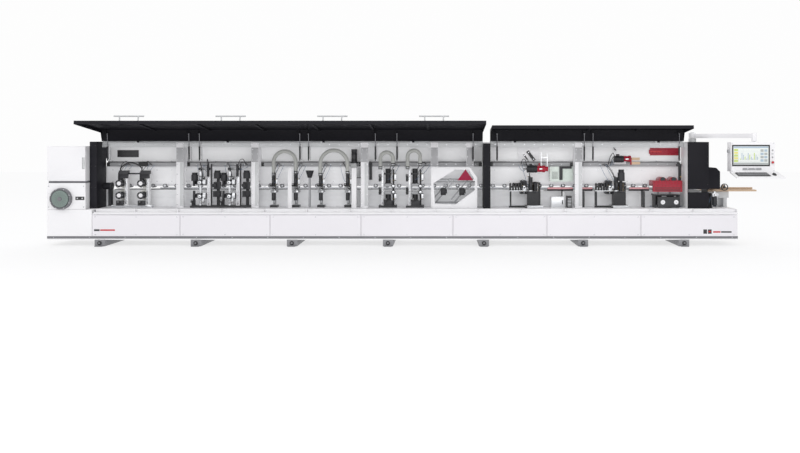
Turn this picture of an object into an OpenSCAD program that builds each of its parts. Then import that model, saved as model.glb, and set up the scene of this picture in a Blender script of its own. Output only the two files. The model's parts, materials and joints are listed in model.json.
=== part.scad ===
// Through-feed edge banding machine for panel furniture: panels enter at the right end, their
// front edge runs along the edge plane, and the units stand between that plane and the hoods.
// Millimetres. +X to the infeed end, +Y from the operator's side to the rear, +Z up.
// Origin: on the floor, under the middle of the middle cross foot.

/* [Base] */
// Reach of the base to the outfeed side of the middle foot
base_l = 5558; // [5540:1:5600]
// Reach of the base to the infeed side of the middle foot
base_r = 5705; // [5690:1:5720]
// Half of the base's depth
base_hd = 425; // [420:1:430]
// Height of the deck that carries the units
deck_z = 603; // [600:1:604]
// Thickness of the folded covers
sheet_t = 3; // [2:0.5:4]

/* [Work line] */
// Height of the feed chain's upper face
work_z = 900; // [895:1:902]
// Panel thickness that the pressure beam is set to
panel_t = 18; // [16:1:30]
// Distance of the panel edge plane behind the origin
edge_y = 135; // [134:1:137]
// Radius of one pressure wheel
wheel_r = 35; // [30:1:36]

/* [Hoods] */
// Height of both hoods' hinge line
hinge_z = 1700; // [1698:1:1704]
// Length of the long hood's front leg
long_leg = 1094; // [1050:1:1094]
// Length of the short hood's front leg
short_leg = 580; // [540:1:600]
// Depth of the folded edge round each hood
hood_edge = 55; // [45:1:58]
// Angle at which the hoods stand open
hood_open = 97; // [90:1:100]

/* [Console] */
// Width of the control housing
con_w = 687; // [670:1:700]
// Height of the control housing
con_h = 465; // [450:1:470]
// Depth of the control housing
con_d = 190; // [180:1:200]

/* [Hidden] */
$fn = 48;

foot_x = [-4694, -3129, -1564, 0, 1565, 3179, 4825];
seam_x = [-4824, -3390, -1923, -440, 1060, 2592, 4124, 5689];
post_x = [-3502, -2247, -415, 3165];
post_hang_x = [756, 1350];
front_y = -base_hd;
wall_y = front_y + 150;
top_y = front_y + 100;
hinge_y = -75;
beam_y0 = 175;
beam_y1 = 335;
beam_z1 = 1283;
wheel_z = work_z + panel_t + wheel_r;
sprocket_z = work_z - 130;
sprocket_xl = -4650;
sprocket_xr = 5130;
hood1 = [-4804, 1562];
hood2 = [1685, 4923];
corner_f = hinge_y - wall_y;
strut_a = [-100, 1400];
strut_b = [-130, -60];
strut_open_deg = 2.45;
strut_len = 436.7;
strut1_x = [-4700, -3340, -3165, -1490, -1345, -230, 130, 1400];
strut2_x = [1800, 3255, 3400, 4840];
handle_x = [-3997, -2412, -828, 756];
boom_p = [5098, 25];
boom_q = [5850, -730];
con_x0 = 5457;
con_y0 = -825;
con_z0 = 1232;

// A box between two corners
module bx(x0, x1, y0, y1, z0, z1) translate([x0, y0, z0]) cube([x1 - x0, y1 - y0, z1 - z0]);
// Round bars along each axis, from one end face to the other
module cz(x, y, z0, z1, r) translate([x, y, z0]) cylinder(r = r, h = z1 - z0);
module cyy(x, y0, y1, z, r) translate([x, y0, z]) rotate([-90, 0, 0]) cylinder(r = r, h = y1 - y0);
module cx(x0, x1, y, z, r) translate([x0, y, z]) rotate([0, 90, 0]) cylinder(r = r, h = x1 - x0);
// A folded shell, open towards +Y
module shell_back(x0, x1, y0, y1, z0, z1, t = sheet_t) difference() {
    bx(x0, x1, y0, y1, z0, z1);
    bx(x0 + t, x1 - t, y0 + t, y1 + 1, z0 + t, z1 - t);
}
// An upright electric motor: finned can, end caps, mounting flange and terminal box
module motor_up(x, y, z, r, h) {
    cz(x, y, z, z + 12, r * 1.12);
    cz(x, y, z + 12, z + h * 0.8, r * 0.9);
    for (i = [0:4]) cz(x, y, z + 22 + i * (h * 0.8 - 34) / 5, z + 22 + i * (h * 0.8 - 34) / 5 + 8, r);
    cz(x, y, z + h * 0.8, z + h, r * 0.96);
    bx(x - r * 0.45, x + r * 0.45, y - r * 1.3, y - r * 0.6, z + h * 0.3, z + h * 0.62);
}

// Welded box base: deck, longitudinal rails, ribs and rear sheet
module base_frame() color([0.93, 0.94, 0.95]) {
    x0 = -base_l + 8;
    x1 = base_r;
    n = 16;
    union() {
        bx(x0, x1, top_y, base_hd, deck_z - 12, deck_z);
        bx(-4800, x1, top_y, top_y + 10, 523, deck_z - 6);
        bx(-4800, x1, front_y + 24, top_y + 5, 540, 552);
        bx(-4800, x1, front_y, front_y + 26, 527, 552);
        bx(x0, x1, front_y + 24, front_y + 34, 163, 540);
        bx(x0, x1, front_y + 24, front_y + 100, 106, 170);
        bx(x0, x1, front_y + 1, front_y + 60, 106, 135);
        bx(x0, x1, base_hd - 90, base_hd - 10, 106, 170);
        bx(x0, x1, base_hd - 10, base_hd, 150, deck_z - 6);
        for (i = [0:n]) bx(x0 + i * (x1 - x0 - 12) / n, x0 + i * (x1 - x0 - 12) / n + 12,
            front_y + 30, base_hd - 5, 160, deck_z - 6);
        // Brackets and sleeves for the rear support rail's arms
        for (x = [-3600, -1200, 1200, 3600]) difference() {
            bx(x - 60, x + 60, 345, 424, deck_z - 6, 870);
            bx(x - 30.5, x + 30.5, 340, 430, 799.5, 860.5);
        }
    }
}

// Folded front panels between the seams, with the groove under the top rail
module front_panels() color([0.95, 0.96, 0.97])
    for (i = [0:6]) difference() {
        bx(seam_x[i] + 3, seam_x[i + 1] - 3, front_y, front_y + 22, 136, 505);
        bx(seam_x[i] + 3 + sheet_t, seam_x[i + 1] - 3 - sheet_t, front_y + sheet_t, front_y + 23,
            136 + sheet_t, 505 - sheet_t);
    }

// Cross feet: closed beams from front to rear, each with a lug and anchor hole at both ends
module cross_feet() color([0.62, 0.64, 0.66])
    for (x = foot_x) difference() {
        union() {
            bx(x - 82, x + 82, -440, 440, 0, 106);
            bx(x - 60, x + 60, -500, 500, 0, 16);
        }
        for (y = [-472, 472]) translate([x, y, -1]) cylinder(r = 11, h = 20);
    }

// Levelling screws with their lock nuts, at the front and rear face of every foot
module levelling_screws() color([0.15, 0.15, 0.16])
    for (x = foot_x) for (s = [-1, 1]) {
        translate([x, s * 440, 56]) rotate([-s * 90, 0, 0]) {
            translate([0, 0, -0.0]) cylinder(r = 34, h = 14);
            translate([0, 0, 14]) cylinder(r = 20, h = 12, $fn = 6);
        }
    }

// Lower cover of the outfeed cabinet, with its skirt over the base's end
module left_lower_cover() color([0.94, 0.95, 0.96]) {
    bx(-base_l, -4827, front_y, front_y + 22, 136, 600);
    bx(-base_l, -base_l + sheet_t, front_y + 22, base_hd, 136, 600);
    difference() {
        bx(-base_l, -4930, front_y, 115, deck_z, 1030);
        bx(-base_l + sheet_t, -4930 - sheet_t, front_y + sheet_t, 115 - sheet_t, deck_z - 1, 1030 - sheet_t);
        translate([-5320, front_y - 1, 776]) rotate([-90, 0, 0]) cylinder(r = 120, h = 10);
    }
    // Latch plate of the lower cover
    bx(-5094, -4944, front_y - 5, front_y, 752, 812);
}

// Upper electrical cabinet: a shell open at the front, with a mounting plate and switchgear
module left_upper_cabinet() color([0.94, 0.95, 0.96]) {
    difference() {
        union() {
            bx(-base_l, -4930, front_y + 22, 115, 1062, 1630);
            bx(-base_l + 12, -4942, front_y + 34, 103, 1030, 1064);
        }
        bx(-base_l + sheet_t, -4930 - sheet_t, front_y + 21, 115 - sheet_t, 1065, 1630 - sheet_t);
    }
    bx(-5500, -4990, 90, 112, 1110, 1580);
    for (i = [0:5]) bx(-5480 + i * 75, -5425 + i * 75, 20, 90, 1420, 1520);
    for (i = [0:3]) bx(-5480 + i * 115, -5390 + i * 115, 0, 90, 1180, 1340);
}

// Round port cover with its clamp ring
module round_port_cover() color([0.36, 0.42, 0.40]) translate([-5320, front_y, 776]) rotate([90, 0, 0]) {
    difference() {
        cylinder(r = 176, h = 62);
        translate([0, 0, 50]) cylinder(r = 150, h = 20);
    }
    translate([0, 0, 46]) cylinder(r = 138, h = 26);
    translate([0, 0, 72]) cylinder(r = 34, h = 12);
}

// Door of the upper cabinet
module cabinet_door() color([0.96, 0.97, 0.98]) difference() {
    bx(-base_l + 2, -4932, front_y, front_y + 21, 1064, 1628);
    bx(-base_l + 8, -4938, front_y + sheet_t, front_y + 22, 1070, 1622);
    bx(-4984, -4944, front_y - 1, front_y + 23, 1260, 1445);
}

// Recessed swing handle in the door, turning on a pin along its left edge
module door_handle() color([0.2, 0.2, 0.21]) {
    bx(-4982, -4946, front_y + 5, front_y + 15, 1263, 1442);
    cz(-4978, front_y + 10, 1262, 1443, 3.5);
    bx(-4962, -4948, front_y - 1, front_y + 6, 1320, 1400);
}

// Black end wall at the outfeed side
module outfeed_wall() color([0.13, 0.13, 0.14]) {
    shell_back(-4925, -4809, wall_y, 110, deck_z, 1705);
    shell_back(-4925, -4809, 111, 255, 1420, 1705);
    bx(-4925, -4809, 104, 116, 1424, 1700);
}

// Black wall between the two hoods
module partition_wall() color([0.13, 0.13, 0.14])
    shell_back(1567, 1680, wall_y, 110, deck_z, 1675);

// Black guard at the infeed side, slit at the work line, with the lower stepped guard beside it
module infeed_guard() color([0.12, 0.12, 0.13]) {
    difference() {
        union() {
            shell_back(4928, 5281, wall_y, 110, deck_z, 1700);
            shell_back(5278, 5472, wall_y + 20, 90, 925, 1274);
        }
        bx(4940, 5500, wall_y - 1, wall_y + 60, 871, 921);
        translate([5472, wall_y + 10, 1274]) rotate([0, 45, 0]) cube([90, 800, 90], center = true);
    }
    // Post that carries the console's boom
    cz(boom_p[0], boom_p[1], 1697, 1758, 62);
    cz(boom_p[0], boom_p[1], 1758, 1862, 30);
}

// C-frames on the deck that carry the upper beam, the hinge rail and the upper guide rail
module gantry_frame() color([0.9, 0.91, 0.92]) union() {
    for (x = post_x) {
        bx(x - 62, x + 62, hinge_y, hinge_y + 14, deck_z, 1690);
        bx(x - 12, x + 12, hinge_y, 122, deck_z, 1690);
        bx(x - 62, x + 62, 108, 122, 1284, 1690);
    }
    for (x = post_hang_x) {
        bx(x - 62, x + 62, hinge_y, hinge_y + 14, 1290, 1690);
        bx(x - 12, x + 12, hinge_y, 122, 1290, 1690);
    }
    // Hinge rail and upper guide rail
    bx(-4806, 1564, hinge_y + 6, -15, 1612, 1690);
    bx(1683, 4925, hinge_y + 6, -15, 1612, 1690);
    bx(-4806, 1564, -19, -15, 1685, 1712);
    bx(1683, 4925, -19, -15, 1685, 1712);
    bx(-4806, 1564, 120, 166, 1283, 1351);
    bx(1683, 4925, 120, 166, 1283, 1351);
    // Hinge pins in their lugs
    for (x = [-4200, -2700, -1100, 400, 2100, 4500]) {
        difference() {
            bx(x - 50, x - 22, hinge_y - 8.6, -40, 1684, hinge_z + 8.4);
            bx(x - 51, x - 21, hinge_y + 14, -30, 1691, 1720);
        }
        cx(x - 30, x + 22, hinge_y, hinge_z, 8);
    }
    // Lugs and ball studs of the gas struts
    for (x = concat(strut1_x, strut2_x)) {
        bx(x + 14, x + 24, strut_a[0] - 14, hinge_y + 10, strut_a[1] - 16, strut_a[1] + 16);
        bx(x + 14, x + 24, hinge_y - 5, -20, strut_a[1] - 12, 1680);
        cx(x - 9, x + 16, strut_a[0], strut_a[1], 5);
    }
}

// Closed upper beam over the feed line, with dust spigots on top
module rear_top_cover() color([0.83, 0.85, 0.87]) {
    difference() {
        bx(-4806, 4925, 170, 470, 1351, 1693);
        bx(-4807, 4926, 173, 467, 1359, 1690);
        for (x = concat(post_x, [4400])) cz(x, 255, 1340, 1360, 25.05);
        for (x = [-4100, -1700, 300, 2600]) cz(x, 320, 1680, 1700, 77);
    }
    for (x = [-4100, -1700, 300, 2600]) difference() {
        cz(x, 320, 1692, 1840, 80);
        cz(x, 320, 1680, 1841, 77);
    }
    for (x = concat(post_x, post_hang_x)) bx(x - 62, x + 62, 122, 170, 1400, 1680);
}

// Side plates of the feed track, their cross members and the inner guide under the chain
module feed_track() color([0.55, 0.57, 0.6]) difference() {
    union() {
        bx(-4880, 5270, 180, 204, deck_z, 886);
        bx(-4790, 5270, 306, 330, deck_z, 886);
        for (i = [0:12]) bx(-4330 + i * 760, -4290 + i * 760, 200, 310, 690, 850);
        bx(-4400, 4900, 238, 272, 840, 873);
    }
    for (x = [sprocket_xl, sprocket_xr]) cyy(x, 175, 335, sprocket_z, 25.05);
}

// Feed chain: a closed loop of rubber-faced pads round both sprockets
module feed_chain() color([0.14, 0.14, 0.15]) translate([0, 295, sprocket_z]) rotate([90, 0, 0])
    linear_extrude(80) difference() {
        union() {
            translate([sprocket_xl, 0]) circle(r = 130);
            translate([sprocket_xr, 0]) circle(r = 130);
            translate([sprocket_xl, -130]) square([sprocket_xr - sprocket_xl, 260]);
        }
        translate([sprocket_xl, 0]) circle(r = 106);
        translate([sprocket_xr, 0]) circle(r = 106);
        translate([sprocket_xl, -106]) square([sprocket_xr - sprocket_xl, 212]);
    }

// Toothed wheel on its shaft
module sprocket(x) translate([x, 0, sprocket_z]) {
    translate([0, 272, 0]) rotate([90, 0, 0]) linear_extrude(34) difference() {
        circle(r = 104);
        for (i = [0:11]) rotate(i * 30 + 15) translate([107, 0]) circle(r = 14);
        for (i = [0:5]) rotate(i * 60) translate([62, 0]) circle(r = 15);
    }
    translate([0, 342, 0]) rotate([90, 0, 0]) cylinder(r = 25, h = 172);
}
module drive_sprocket() color([0.5, 0.5, 0.52]) sprocket(sprocket_xl);
module idler_sprocket() color([0.5, 0.5, 0.52]) sprocket(sprocket_xr);

// Gear motor of the feed chain, on the rear side plate
module drive_gearmotor() color([0.3, 0.36, 0.42]) {
    difference() {
        bx(-4760, -4540, 344, 500, 660, 860);
        cyy(sprocket_xl, 340, 360, sprocket_z, 27);
    }
    cx(-4540, -4180, 420, 740, 78);
    cx(-4180, -4130, 420, 740, 84);
    bx(-4480, -4360, 380, 460, 800, 850);
    bx(-4760, -4540, 330, 344, 620, 700);
}

// Pressure beam with its front cover and guide columns
module pressure_beam() color([0.93, 0.94, 0.95]) union() {
    difference() {
        bx(-4880, 4910, beam_y0, beam_y1, 985, beam_z1);
        bx(-4890, 4920, beam_y0 + 5, beam_y1 - 5, 984, beam_z1 - 8);
    }
    for (i = [0:48]) bx(-4760 + i * 200, -4748 + i * 200, beam_y0 + 4, beam_y1 - 4, 1060, beam_z1 - 4);
    bx(-4790, 4910, 249, 261, wheel_z - 8, 1064);
    for (x = concat(post_x, [4400])) cz(x, 255, beam_z1 - 6, 1600, 25);
}

// Two rows of rubber pressure wheels on their axles
module pressure_wheels() color([0.16, 0.16, 0.17])
    for (i = [0:47]) {
        x = -4650 + i * 200;
        cyy(x, 200, 230, wheel_z, wheel_r);
        cyy(x, 280, 310, wheel_z, wheel_r);
        cyy(x, 230, 249, wheel_z, 7);
        cyy(x, 261, 280, wheel_z, 7);
    }

// One hood in its closed place, as seen from its hinge line: roof, front leg, folded edges and ribs
module hood_shell(x0, x1, leg) {
    e = hood_edge;
    t = 2;
    c = -corner_f;
    difference() {
        translate([x0, 0, 0]) rotate([90, 0, 90]) linear_extrude(x1 - x0) polygon([[-12, -2], [c, -25],
            [c, -leg], [c + e, -leg], [c + e, -25 - e], [-12, -16]]);
        translate([x0 + t, 0, 0]) rotate([90, 0, 90]) linear_extrude(x1 - x0 - 2 * t) polygon([[-12 - t, -4.5],
            [c + t, -27.5], [c + t, -leg + t], [c + e + 20, -leg + t], [c + e + 20, -60 - e], [-12 - t, -30 - e]]);
    }
    n = floor((x1 - x0) / 800);
    for (i = [1:n - 1]) bx(x0 + i * (x1 - x0) / n - 20, x0 + i * (x1 - x0) / n + 20, c + 1, c + 26, -leg + 60, -90);
}
module at_hood() translate([0, hinge_y, hinge_z]) rotate([-hood_open, 0, 0]) children();
// Hinge eye of a hood round its pin
module hood_eye(x) difference() {
    union() {
        cx(x - 20, x + 20, 0, 0, 11);
        bx(x - 20, x + 20, -30, 0, -14, -4);
    }
    cx(x - 21, x + 21, 0, 0, 8.05);
}
// Strut bracket inside a hood, with its stud
module hood_lug(x) bx(x - 26, x - 18, strut_b[0] - 69, strut_b[0] + 12, strut_b[1] - 14, strut_b[1] + 14);

module long_hood() color([0.14, 0.14, 0.16]) at_hood() union() {
    hood_shell(hood1[0], hood1[1], long_leg);
    for (x = [-4200, -2700, -1100, 400]) hood_eye(x);
    for (x = strut1_x) hood_lug(x);
}
module short_hood() color([0.14, 0.14, 0.16]) at_hood() union() {
    hood_shell(hood2[0], hood2[1], short_leg);
    for (x = [2100, 4500]) hood_eye(x);
    for (x = strut2_x) hood_lug(x);
}
// Bow handles on the long hood's outer face
module hood_handles() color([0.78, 0.79, 0.8]) at_hood()
    for (x = handle_x) {
        for (s = [-1, 1]) {
            cyy(x + s * 145, -corner_f - 88, -corner_f, -long_leg + 110, 12);
            cyy(x + s * 145, -corner_f - 6, -corner_f, -long_leg + 110, 24);
        }
        cx(x - 235, x + 235, -corner_f - 88, -long_leg + 110, 13);
    }

// Gas struts, drawn along their own axis at full reach
module at_strut(x) translate([x, strut_a[0], strut_a[1]]) rotate([strut_open_deg, 0, 0]) children();
module strut_cylinder(x) at_strut(x) difference() {
    union() {
        cz(0, 0, 10, 225, 14);
        difference() { cx(-8, 8, 0, 0, 14); cx(-9, 9, 0, 0, 5.05); }
    }
    cz(0, 0, 24, 226, 6.05);
    cx(-9, 9, 0, 0, 5.05);
}
module strut_rod(x) at_strut(x) {
    cz(0, 0, 204, strut_len - 9, 6);
    difference() { cx(-10, 10, 0, strut_len, 12); cx(-11, 11, 0, strut_len, 4); }
    cx(-16.5, 9, 0, strut_len, 4);
}
module long_strut_cylinders() color([0.62, 0.63, 0.65]) for (x = strut1_x) strut_cylinder(x);
module long_strut_rods() color([0.75, 0.76, 0.78]) for (x = strut1_x) strut_rod(x);
module short_strut_cylinders() color([0.62, 0.63, 0.65]) for (x = strut2_x) strut_cylinder(x);
module short_strut_rods() color([0.75, 0.76, 0.78]) for (x = strut2_x) strut_rod(x);

// Infeed table on its brackets, flush with the feed chain
module infeed_table() color([0.76, 0.66, 0.52]) {
    bx(5290, 6148, 142, 490, 872, work_z - 1);
    bx(5290, 6148, -60, 90, 872, work_z - 1);
    bx(5290, 6148, 90, 142, 866, 893);
    difference() { bx(5572, 5628, -55, -15, 896, 980); cyy(5600, -60, 0, 945, 7.05); }
    bx(5300, 5704, 0, 420, 760, 866);
    bx(5320, 5380, 20, 400, deck_z, 760);
    bx(5620, 5680, 20, 400, deck_z, 760);
}
// Infeed fence along the panel edge plane
module infeed_fence() color([0.78, 0.68, 0.54]) {
    bx(5300, 6140, 100, edge_y - 4, work_z + 0.5, 932);
    bx(5560, 5640, 30, 100, work_z + 2, 918);
}
// Handwheel that sets the fence, on its screw
module fence_handwheel() color([0.15, 0.15, 0.16]) {
    difference() { cyy(5600, -100, -80, 945, 60); cyy(5600, -101, -79, 945, 48); }
    cyy(5600, -104, -74, 945, 18);
    for (a = [0:120:240]) translate([5600, -92, 945]) rotate([0, a, 0]) translate([-5, -4, 10]) cube([10, 8, 42]);
    cyy(5600, -74, 20, 945, 7);
}

// Air filter and regulator with the machine's air inlet
module air_service_unit() color([0.72, 0.73, 0.75]) {
    difference() {
        union() {
            cz(5399, -200, 650, 800, 42);
            cz(5399, -200, 628, 652, 30);
            bx(5354, 5444, -235, -165, 796, 850);
            cz(5399, -200, 850, 880, 24);
            cx(5440, 5470, -200, 822, 16);
        }
        cx(5440, 5471, -200, 822, 9.5);
    }
    bx(5330, 5356, -225, -100, deck_z, 850);
}

// Telescopic arms with the outer roller rail behind the feed line
module rear_support_rail() color([0.7, 0.71, 0.73]) {
    for (x = [-3600, -1200, 1200, 3600]) bx(x - 30, x + 30, 348, 1010, 800, 860);
    difference() {
        bx(-4200, 4900, 1000, 1060, 800, 880);
        bx(-4201, 4901, 1004, 1056, 812, 881);
    }
    for (i = [0:45]) cyy(-4100 + i * 198, 1005, 1055, 874, 24);
}

// Jointing unit: red extraction housing on a white plate, two upright motors in a black box
module premill_unit() color([0.6, 0.08, 0.12]) {
    difference() {
        bx(4393, 4880, -150, 120, 962, 1055);
        bx(4399, 4874, -144, 121, 961, 1049);
    }
    difference() {
        bx(4393, 4880, -150, -100, 870, 962);
        bx(4399, 4874, -144, -90, 860, 970);
    }
    difference() {
        bx(4430, 4860, -90, 128, 800, 826);
        for (x = [4530, 4740]) cz(x, 75, 790, 830, 16.05);
    }
    bx(4430, 4456, -90, 60, deck_z, 800);
    bx(4834, 4860, -90, 60, deck_z, 800);
    for (x = [4530, 4740]) difference() {
        cz(x, 75, 640, 799.5, 62);
        cz(x, 75, 660, 800, 17);
    }
    shell_back(4460, 4830, -190, -110, 625, 786);
    bx(4478, 4812, -110, 10, 640, 648);
    // Generic plate on the cover band behind
    bx(4420, 4922, 160, 170, 1470, 1596);
    // Rounded caps of the two hoods and the cylinder on the post
    for (x = [4560, 4740]) difference() { cyy(x, -140, 90, 1052, 62); bx(x - 70, x + 70, -141, 91, 980, 1052); }
    bx(4845, 4885, -60, -20, 1050, 1290);
    cz(4864, -66, 1090, 1290, 22);
    bx(4810, 4890, -80, -20, 1290, 1330);
}
// Cutter on its motor shaft, tangent to the edge plane
module premill_cutter(x) {
    difference() {
        cz(x, 75, 868, 956, 57);
        for (i = [0:5]) for (k = [0:2]) translate([x, 75, 872 + k * 28]) rotate(i * 60 + k * 20) translate([57, 0, 0]) cylinder(r = 7, h = 22);
    }
    cz(x, 75, 700, 870, 16);
}
module premill_cutter_first() color([0.75, 0.76, 0.78]) premill_cutter(4740);
module premill_cutter_second() color([0.75, 0.76, 0.78]) premill_cutter(4530);

// One gluing unit: pot on a stand, tape magazine table, guide, press frame and setting drives
module glue_frame(x) {
    // Stand, pot and its lid
    bx(x - 150, x + 150, -120, 60, deck_z, 640);
    difference() {
        bx(x - 110, x + 70, -150, 20, 640, 860);
        bx(x - 90, x + 50, -130, 0, 700, 861);
    }
    bx(x - 118, x + 78, -158, 18, 862, 880);
    bx(x + 78, x + 110, -60, 60, 640, 1020);
    cz(x + 20, -70, 880, 1010, 34);
    cz(x + 20, -70, 1010, 1034, 24);
    motor_up(x - 60, -90, 880, 38, 230);
    // Bearing arm over the glue roller
    difference() { bx(x - 20, x + 92, -30, 112, 1000, 1022); cz(x + 20, 93, 990, 1030, 6.05); }
    difference() { bx(x - 20, x + 60, 10, 112, 800, 830); cz(x + 20, 93, 790, 840, 6.05); }
    // Tape table and guide rollers
    difference() { bx(x - 420, x - 130, -150, 60, 880, 892); cz(x - 172, 68, 870, 900, 70); }
    bx(x - 400, x - 380, -100, 20, 636, 880);
    bx(x - 420, x - 150, -100, 0, deck_z, 636);
    for (i = [0:5]) cz(x - 400 + i * 46, -110, 892, 1010, 17);
    for (i = [0:5]) cz(x - 400 + i * 46, -110, 1010, 1018, 8);
    for (i = [0:3]) cz(x - 370 + i * 56, -40, 892, 960, 12);
    // Bracket that holds the press roller from both sides
    difference() { bx(x - 230, x - 116, -40, 100, 830, 852); cz(x - 172, 68, 820, 860, 10.05); }
    difference() { bx(x - 220, x - 120, -60, 100, 1020, 1046); cz(x - 172, 68, 1000, 1050, 10.05); }
    bx(x - 215, x - 125, -64, -28, 826, 1040);
    cx(x - 330, x - 200, -66, 985, 26);
    cx(x - 345, x - 328, -66, 985, 32);
}
module glue_unit_frames() color([0.3, 0.31, 0.33]) {
    glue_frame(2420);
    glue_frame(3850);
    // Control boxes on the guide rail and the coloured setting block
    bx(3788, 3990, 60, 120, 1324, 1475);
    bx(2175, 2528, 150, 170, 1355, 1620);
    bx(2700, 3095, 40, 119, 1030, 1282);
    bx(2490, 2566, 20, 80, 1240, 1300);
    bx(2515, 2541, 76, 120, 1250, 1340);
    // Tape guide channels
    bx(2660, 3095, 60, 66, 880, 925);
    bx(4040, 4380, 60, 66, 880, 925);
    bx(2600, 3095, 66, 90, 872, 880);
    bx(4030, 4380, 66, 90, 872, 880);
    bx(2900, 2930, -60, 90, deck_z, 872);
    bx(3240, 3270, -60, 90, deck_z, 872);
    bx(3185, 3425, 60, 66, 880, 925);
    bx(3185, 3425, 66, 90, 872, 880);
    bx(4250, 4280, -60, 90, deck_z, 872);
    // Cabinets under the tape guide and the bent arm on the pale box
    bx(2965, 3045, -130, -20, deck_z, 800);
    bx(2700, 2925, -110, -20, deck_z, 790);
    bx(2905, 3065, 14, 44, 1250, 1290);
    bx(2860, 2912, 14, 44, 1060, 1290);
    // Tape cutting motor with its coupling over the lead unit
    cx(2297, 2467, -100, 1250, 60);
    for (i = [0:5]) cx(2306 + i * 26, 2316 + i * 26, -100, 1250, 64);
    cx(2467, 2560, -100, 1250, 52);
    cx(2560, 2600, -100, 1250, 58);
    cx(2600, 2650, -100, 1250, 40);
    cx(2240, 2297, -100, 1250, 8);
    bx(2492, 2532, -70, 60, 1256, 1276);
    bx(2535, 2547, -75, -60, 1290, 1530);
    bx(2635, 2647, -75, -60, 1276, 1500);
    bx(2535, 2647, -75, -60, 1430, 1446);
    // Motor pair over the trail unit
    cx(3755, 3910, -100, 1413, 55);
    for (i = [0:4]) cx(3764 + i * 27, 3774 + i * 27, -100, 1413, 59);
    cx(3910, 3990, -100, 1420, 46);
    cx(3990, 4030, -100, 1420, 52);
    bx(3860, 3900, -70, 70, 1400, 1425);
    for (i = [0:1]) bx(4020, 4180, -112 - i * 30, -102 - i * 30, 1395 - i * 70, 1440 - i * 70);
    bx(4020, 4036, -150, -90, 1320, 1440);
    cz(3868, -120, 1050, 1190, 58);
    cz(3868, -120, 1190, 1240, 46);
    bx(3850, 3890, -120, -60, 1026, 1056);
}
// Knurled glue roller, tangent to the edge plane
module glue_roller(x) { cz(x, 93, 864, 985, 41); cz(x, 93, 802, 870, 6); cz(x, 93, 980, 1018, 6); }
module glue_roller_first() color([0.6, 0.55, 0.45]) glue_roller(3870);
module glue_roller_second() color([0.6, 0.55, 0.45]) glue_roller(2440);
// Main press roller
module press_roller(x) difference() {
    union() { cz(x, 68, 862, 1012, 66); cz(x, 68, 832, 1044, 10); }
    for (z = [900, 940, 980]) difference() { cz(x, 68, z, z + 4, 67); cz(x, 68, z, z + 4, 63); }
}
module press_roller_first() color([0.18, 0.18, 0.19]) press_roller(3678);
module press_roller_second() color([0.18, 0.18, 0.19]) press_roller(2248);

// Guard frame and inclined guide bars of the end trimming unit
module end_trim_frame() color([0.92, 0.93, 0.94]) {
    difference() {
        translate([0, -135, 0]) rotate([90, 0, 0]) linear_extrude(16) difference() {
            polygon([[699, 603], [1468, 603], [1468, 1110], [1345, 1281], [699, 1281]]);
            polygon([[766, 676], [1103, 658], [1425, 896], [1432, 1048], [1328, 1236], [1103, 1240], [738, 1013]]);
        }
    }
    for (x = [699, 1440]) bx(x, x + 28, -135, 60, deck_z, 1090);
    bx(720, 1444, 30, 56, deck_z, 660);
    // Inclined guide bars
    for (x = [790, 1100]) translate([x, -20, 680]) rotate([0, -50, 0]) {
        cube([470, 14, 24]);
        translate([0, 0, 70]) cube([470, 14, 24]);
    }
    bx(720, 1444, -18, -8, 672, 700);
    bx(720, 1444, -18, -8, 1020, 1046);
    // Cross beam behind the carriages
    bx(720, 1444, -6, 24, 1060, 1086);
    translate([0, -149, 0]) rotate([90, 0, 0]) linear_extrude(10) polygon([[1139, 1062], [1400, 1062],
        [1272, 1246]]);
    // Window strip that carries the sign
    bx(1250, 1294, -151, -139, 1200, 1244);
    bx(1395, 1436, -151, -139, 1050, 1080);
}
// Saw carriage of the end trimming unit: slide, motor and saw blade
module end_saw(x, z) {
    bx(x - 45, x + 45, -75, -21, z - 60, z + 60);
    cyy(x, -128, -75, z, 40);
    bx(x - 20, x + 20, -100, -75, z + 38, z + 56);
    cx(x + 46, x + 58, -62, z, 30);
    cx(x + 58, x + 61, -62, z, 40);
}
module end_trim_saw_lead() color([0.28, 0.29, 0.31]) end_saw(904, 870);
module end_trim_saw_trail() color([0.28, 0.29, 0.31]) end_saw(1214, 870);

// Two trimming units: columns, slides, upper and lower motors, copying pads and chip hoods
module trim_frame(x) {
    bx(x - 110, x - 70, -60, 60, deck_z, 1290);
    bx(x - 150, x + 150, -110, 80, deck_z, 640);
    bx(x - 70, x + 60, -20, 20, 1150, 1180);
    bx(x - 70, x + 60, -20, 20, 700, 730);
    translate([0, 0, 0]) difference() { motor_up(x, 50, 1000, 48, 250); cz(x, 50, 990, 1120, 12); }
    difference() { cz(x, 50, 642, 820, 48); cz(x, 50, 700, 830, 12); }
    cz(x, 50, 650, 662, 54);
    // Chip hoods round the cutters
    difference() {
        bx(x - 62, x + 62, -30, 112, 950, 998);
        cz(x, 50, 940, 1001, 46);
        bx(x - 46, x + 46, 50, 130, 940, 1001);
    }
    difference() {
        bx(x - 62, x + 62, -30, 112, 822, 868);
        cz(x, 50, 800, 880, 46);
        bx(x - 46, x + 46, 50, 130, 800, 880);
    }
    // Copying discs, dials and slides in front
    cyy(x + 92, -70, -30, 960, 34);
    cyy(x + 92, -70, -30, 860, 34);
    bx(x + 78, x + 106, -30, 20, 640, 1240);
    bx(x - 150, x - 115, -90, 60, 820, 900);
    cyy(x - 132, -118, -90, 860, 16);
    bx(x - 150, x - 115, -90, 60, 1040, 1110);
    cyy(x - 132, -118, -90, 1075, 16);
    bx(x - 60, x + 80, -110, -60, 640, 720);
}
module trimming_units() color([0.35, 0.36, 0.38]) for (x = [-26, 428]) trim_frame(x);
module trim_cutter(x) {
    for (z = [956, 826]) difference() {
        cz(x, 50, z, z + 38, 36);
        for (i = [0:3]) translate([x, 50, z - 1]) rotate(i * 90) translate([36, 0, 0]) cylinder(r = 8, h = 40);
    }
    cz(x, 50, 990, 1110, 11);
    cz(x, 50, 712, 830, 11);
}
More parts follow.
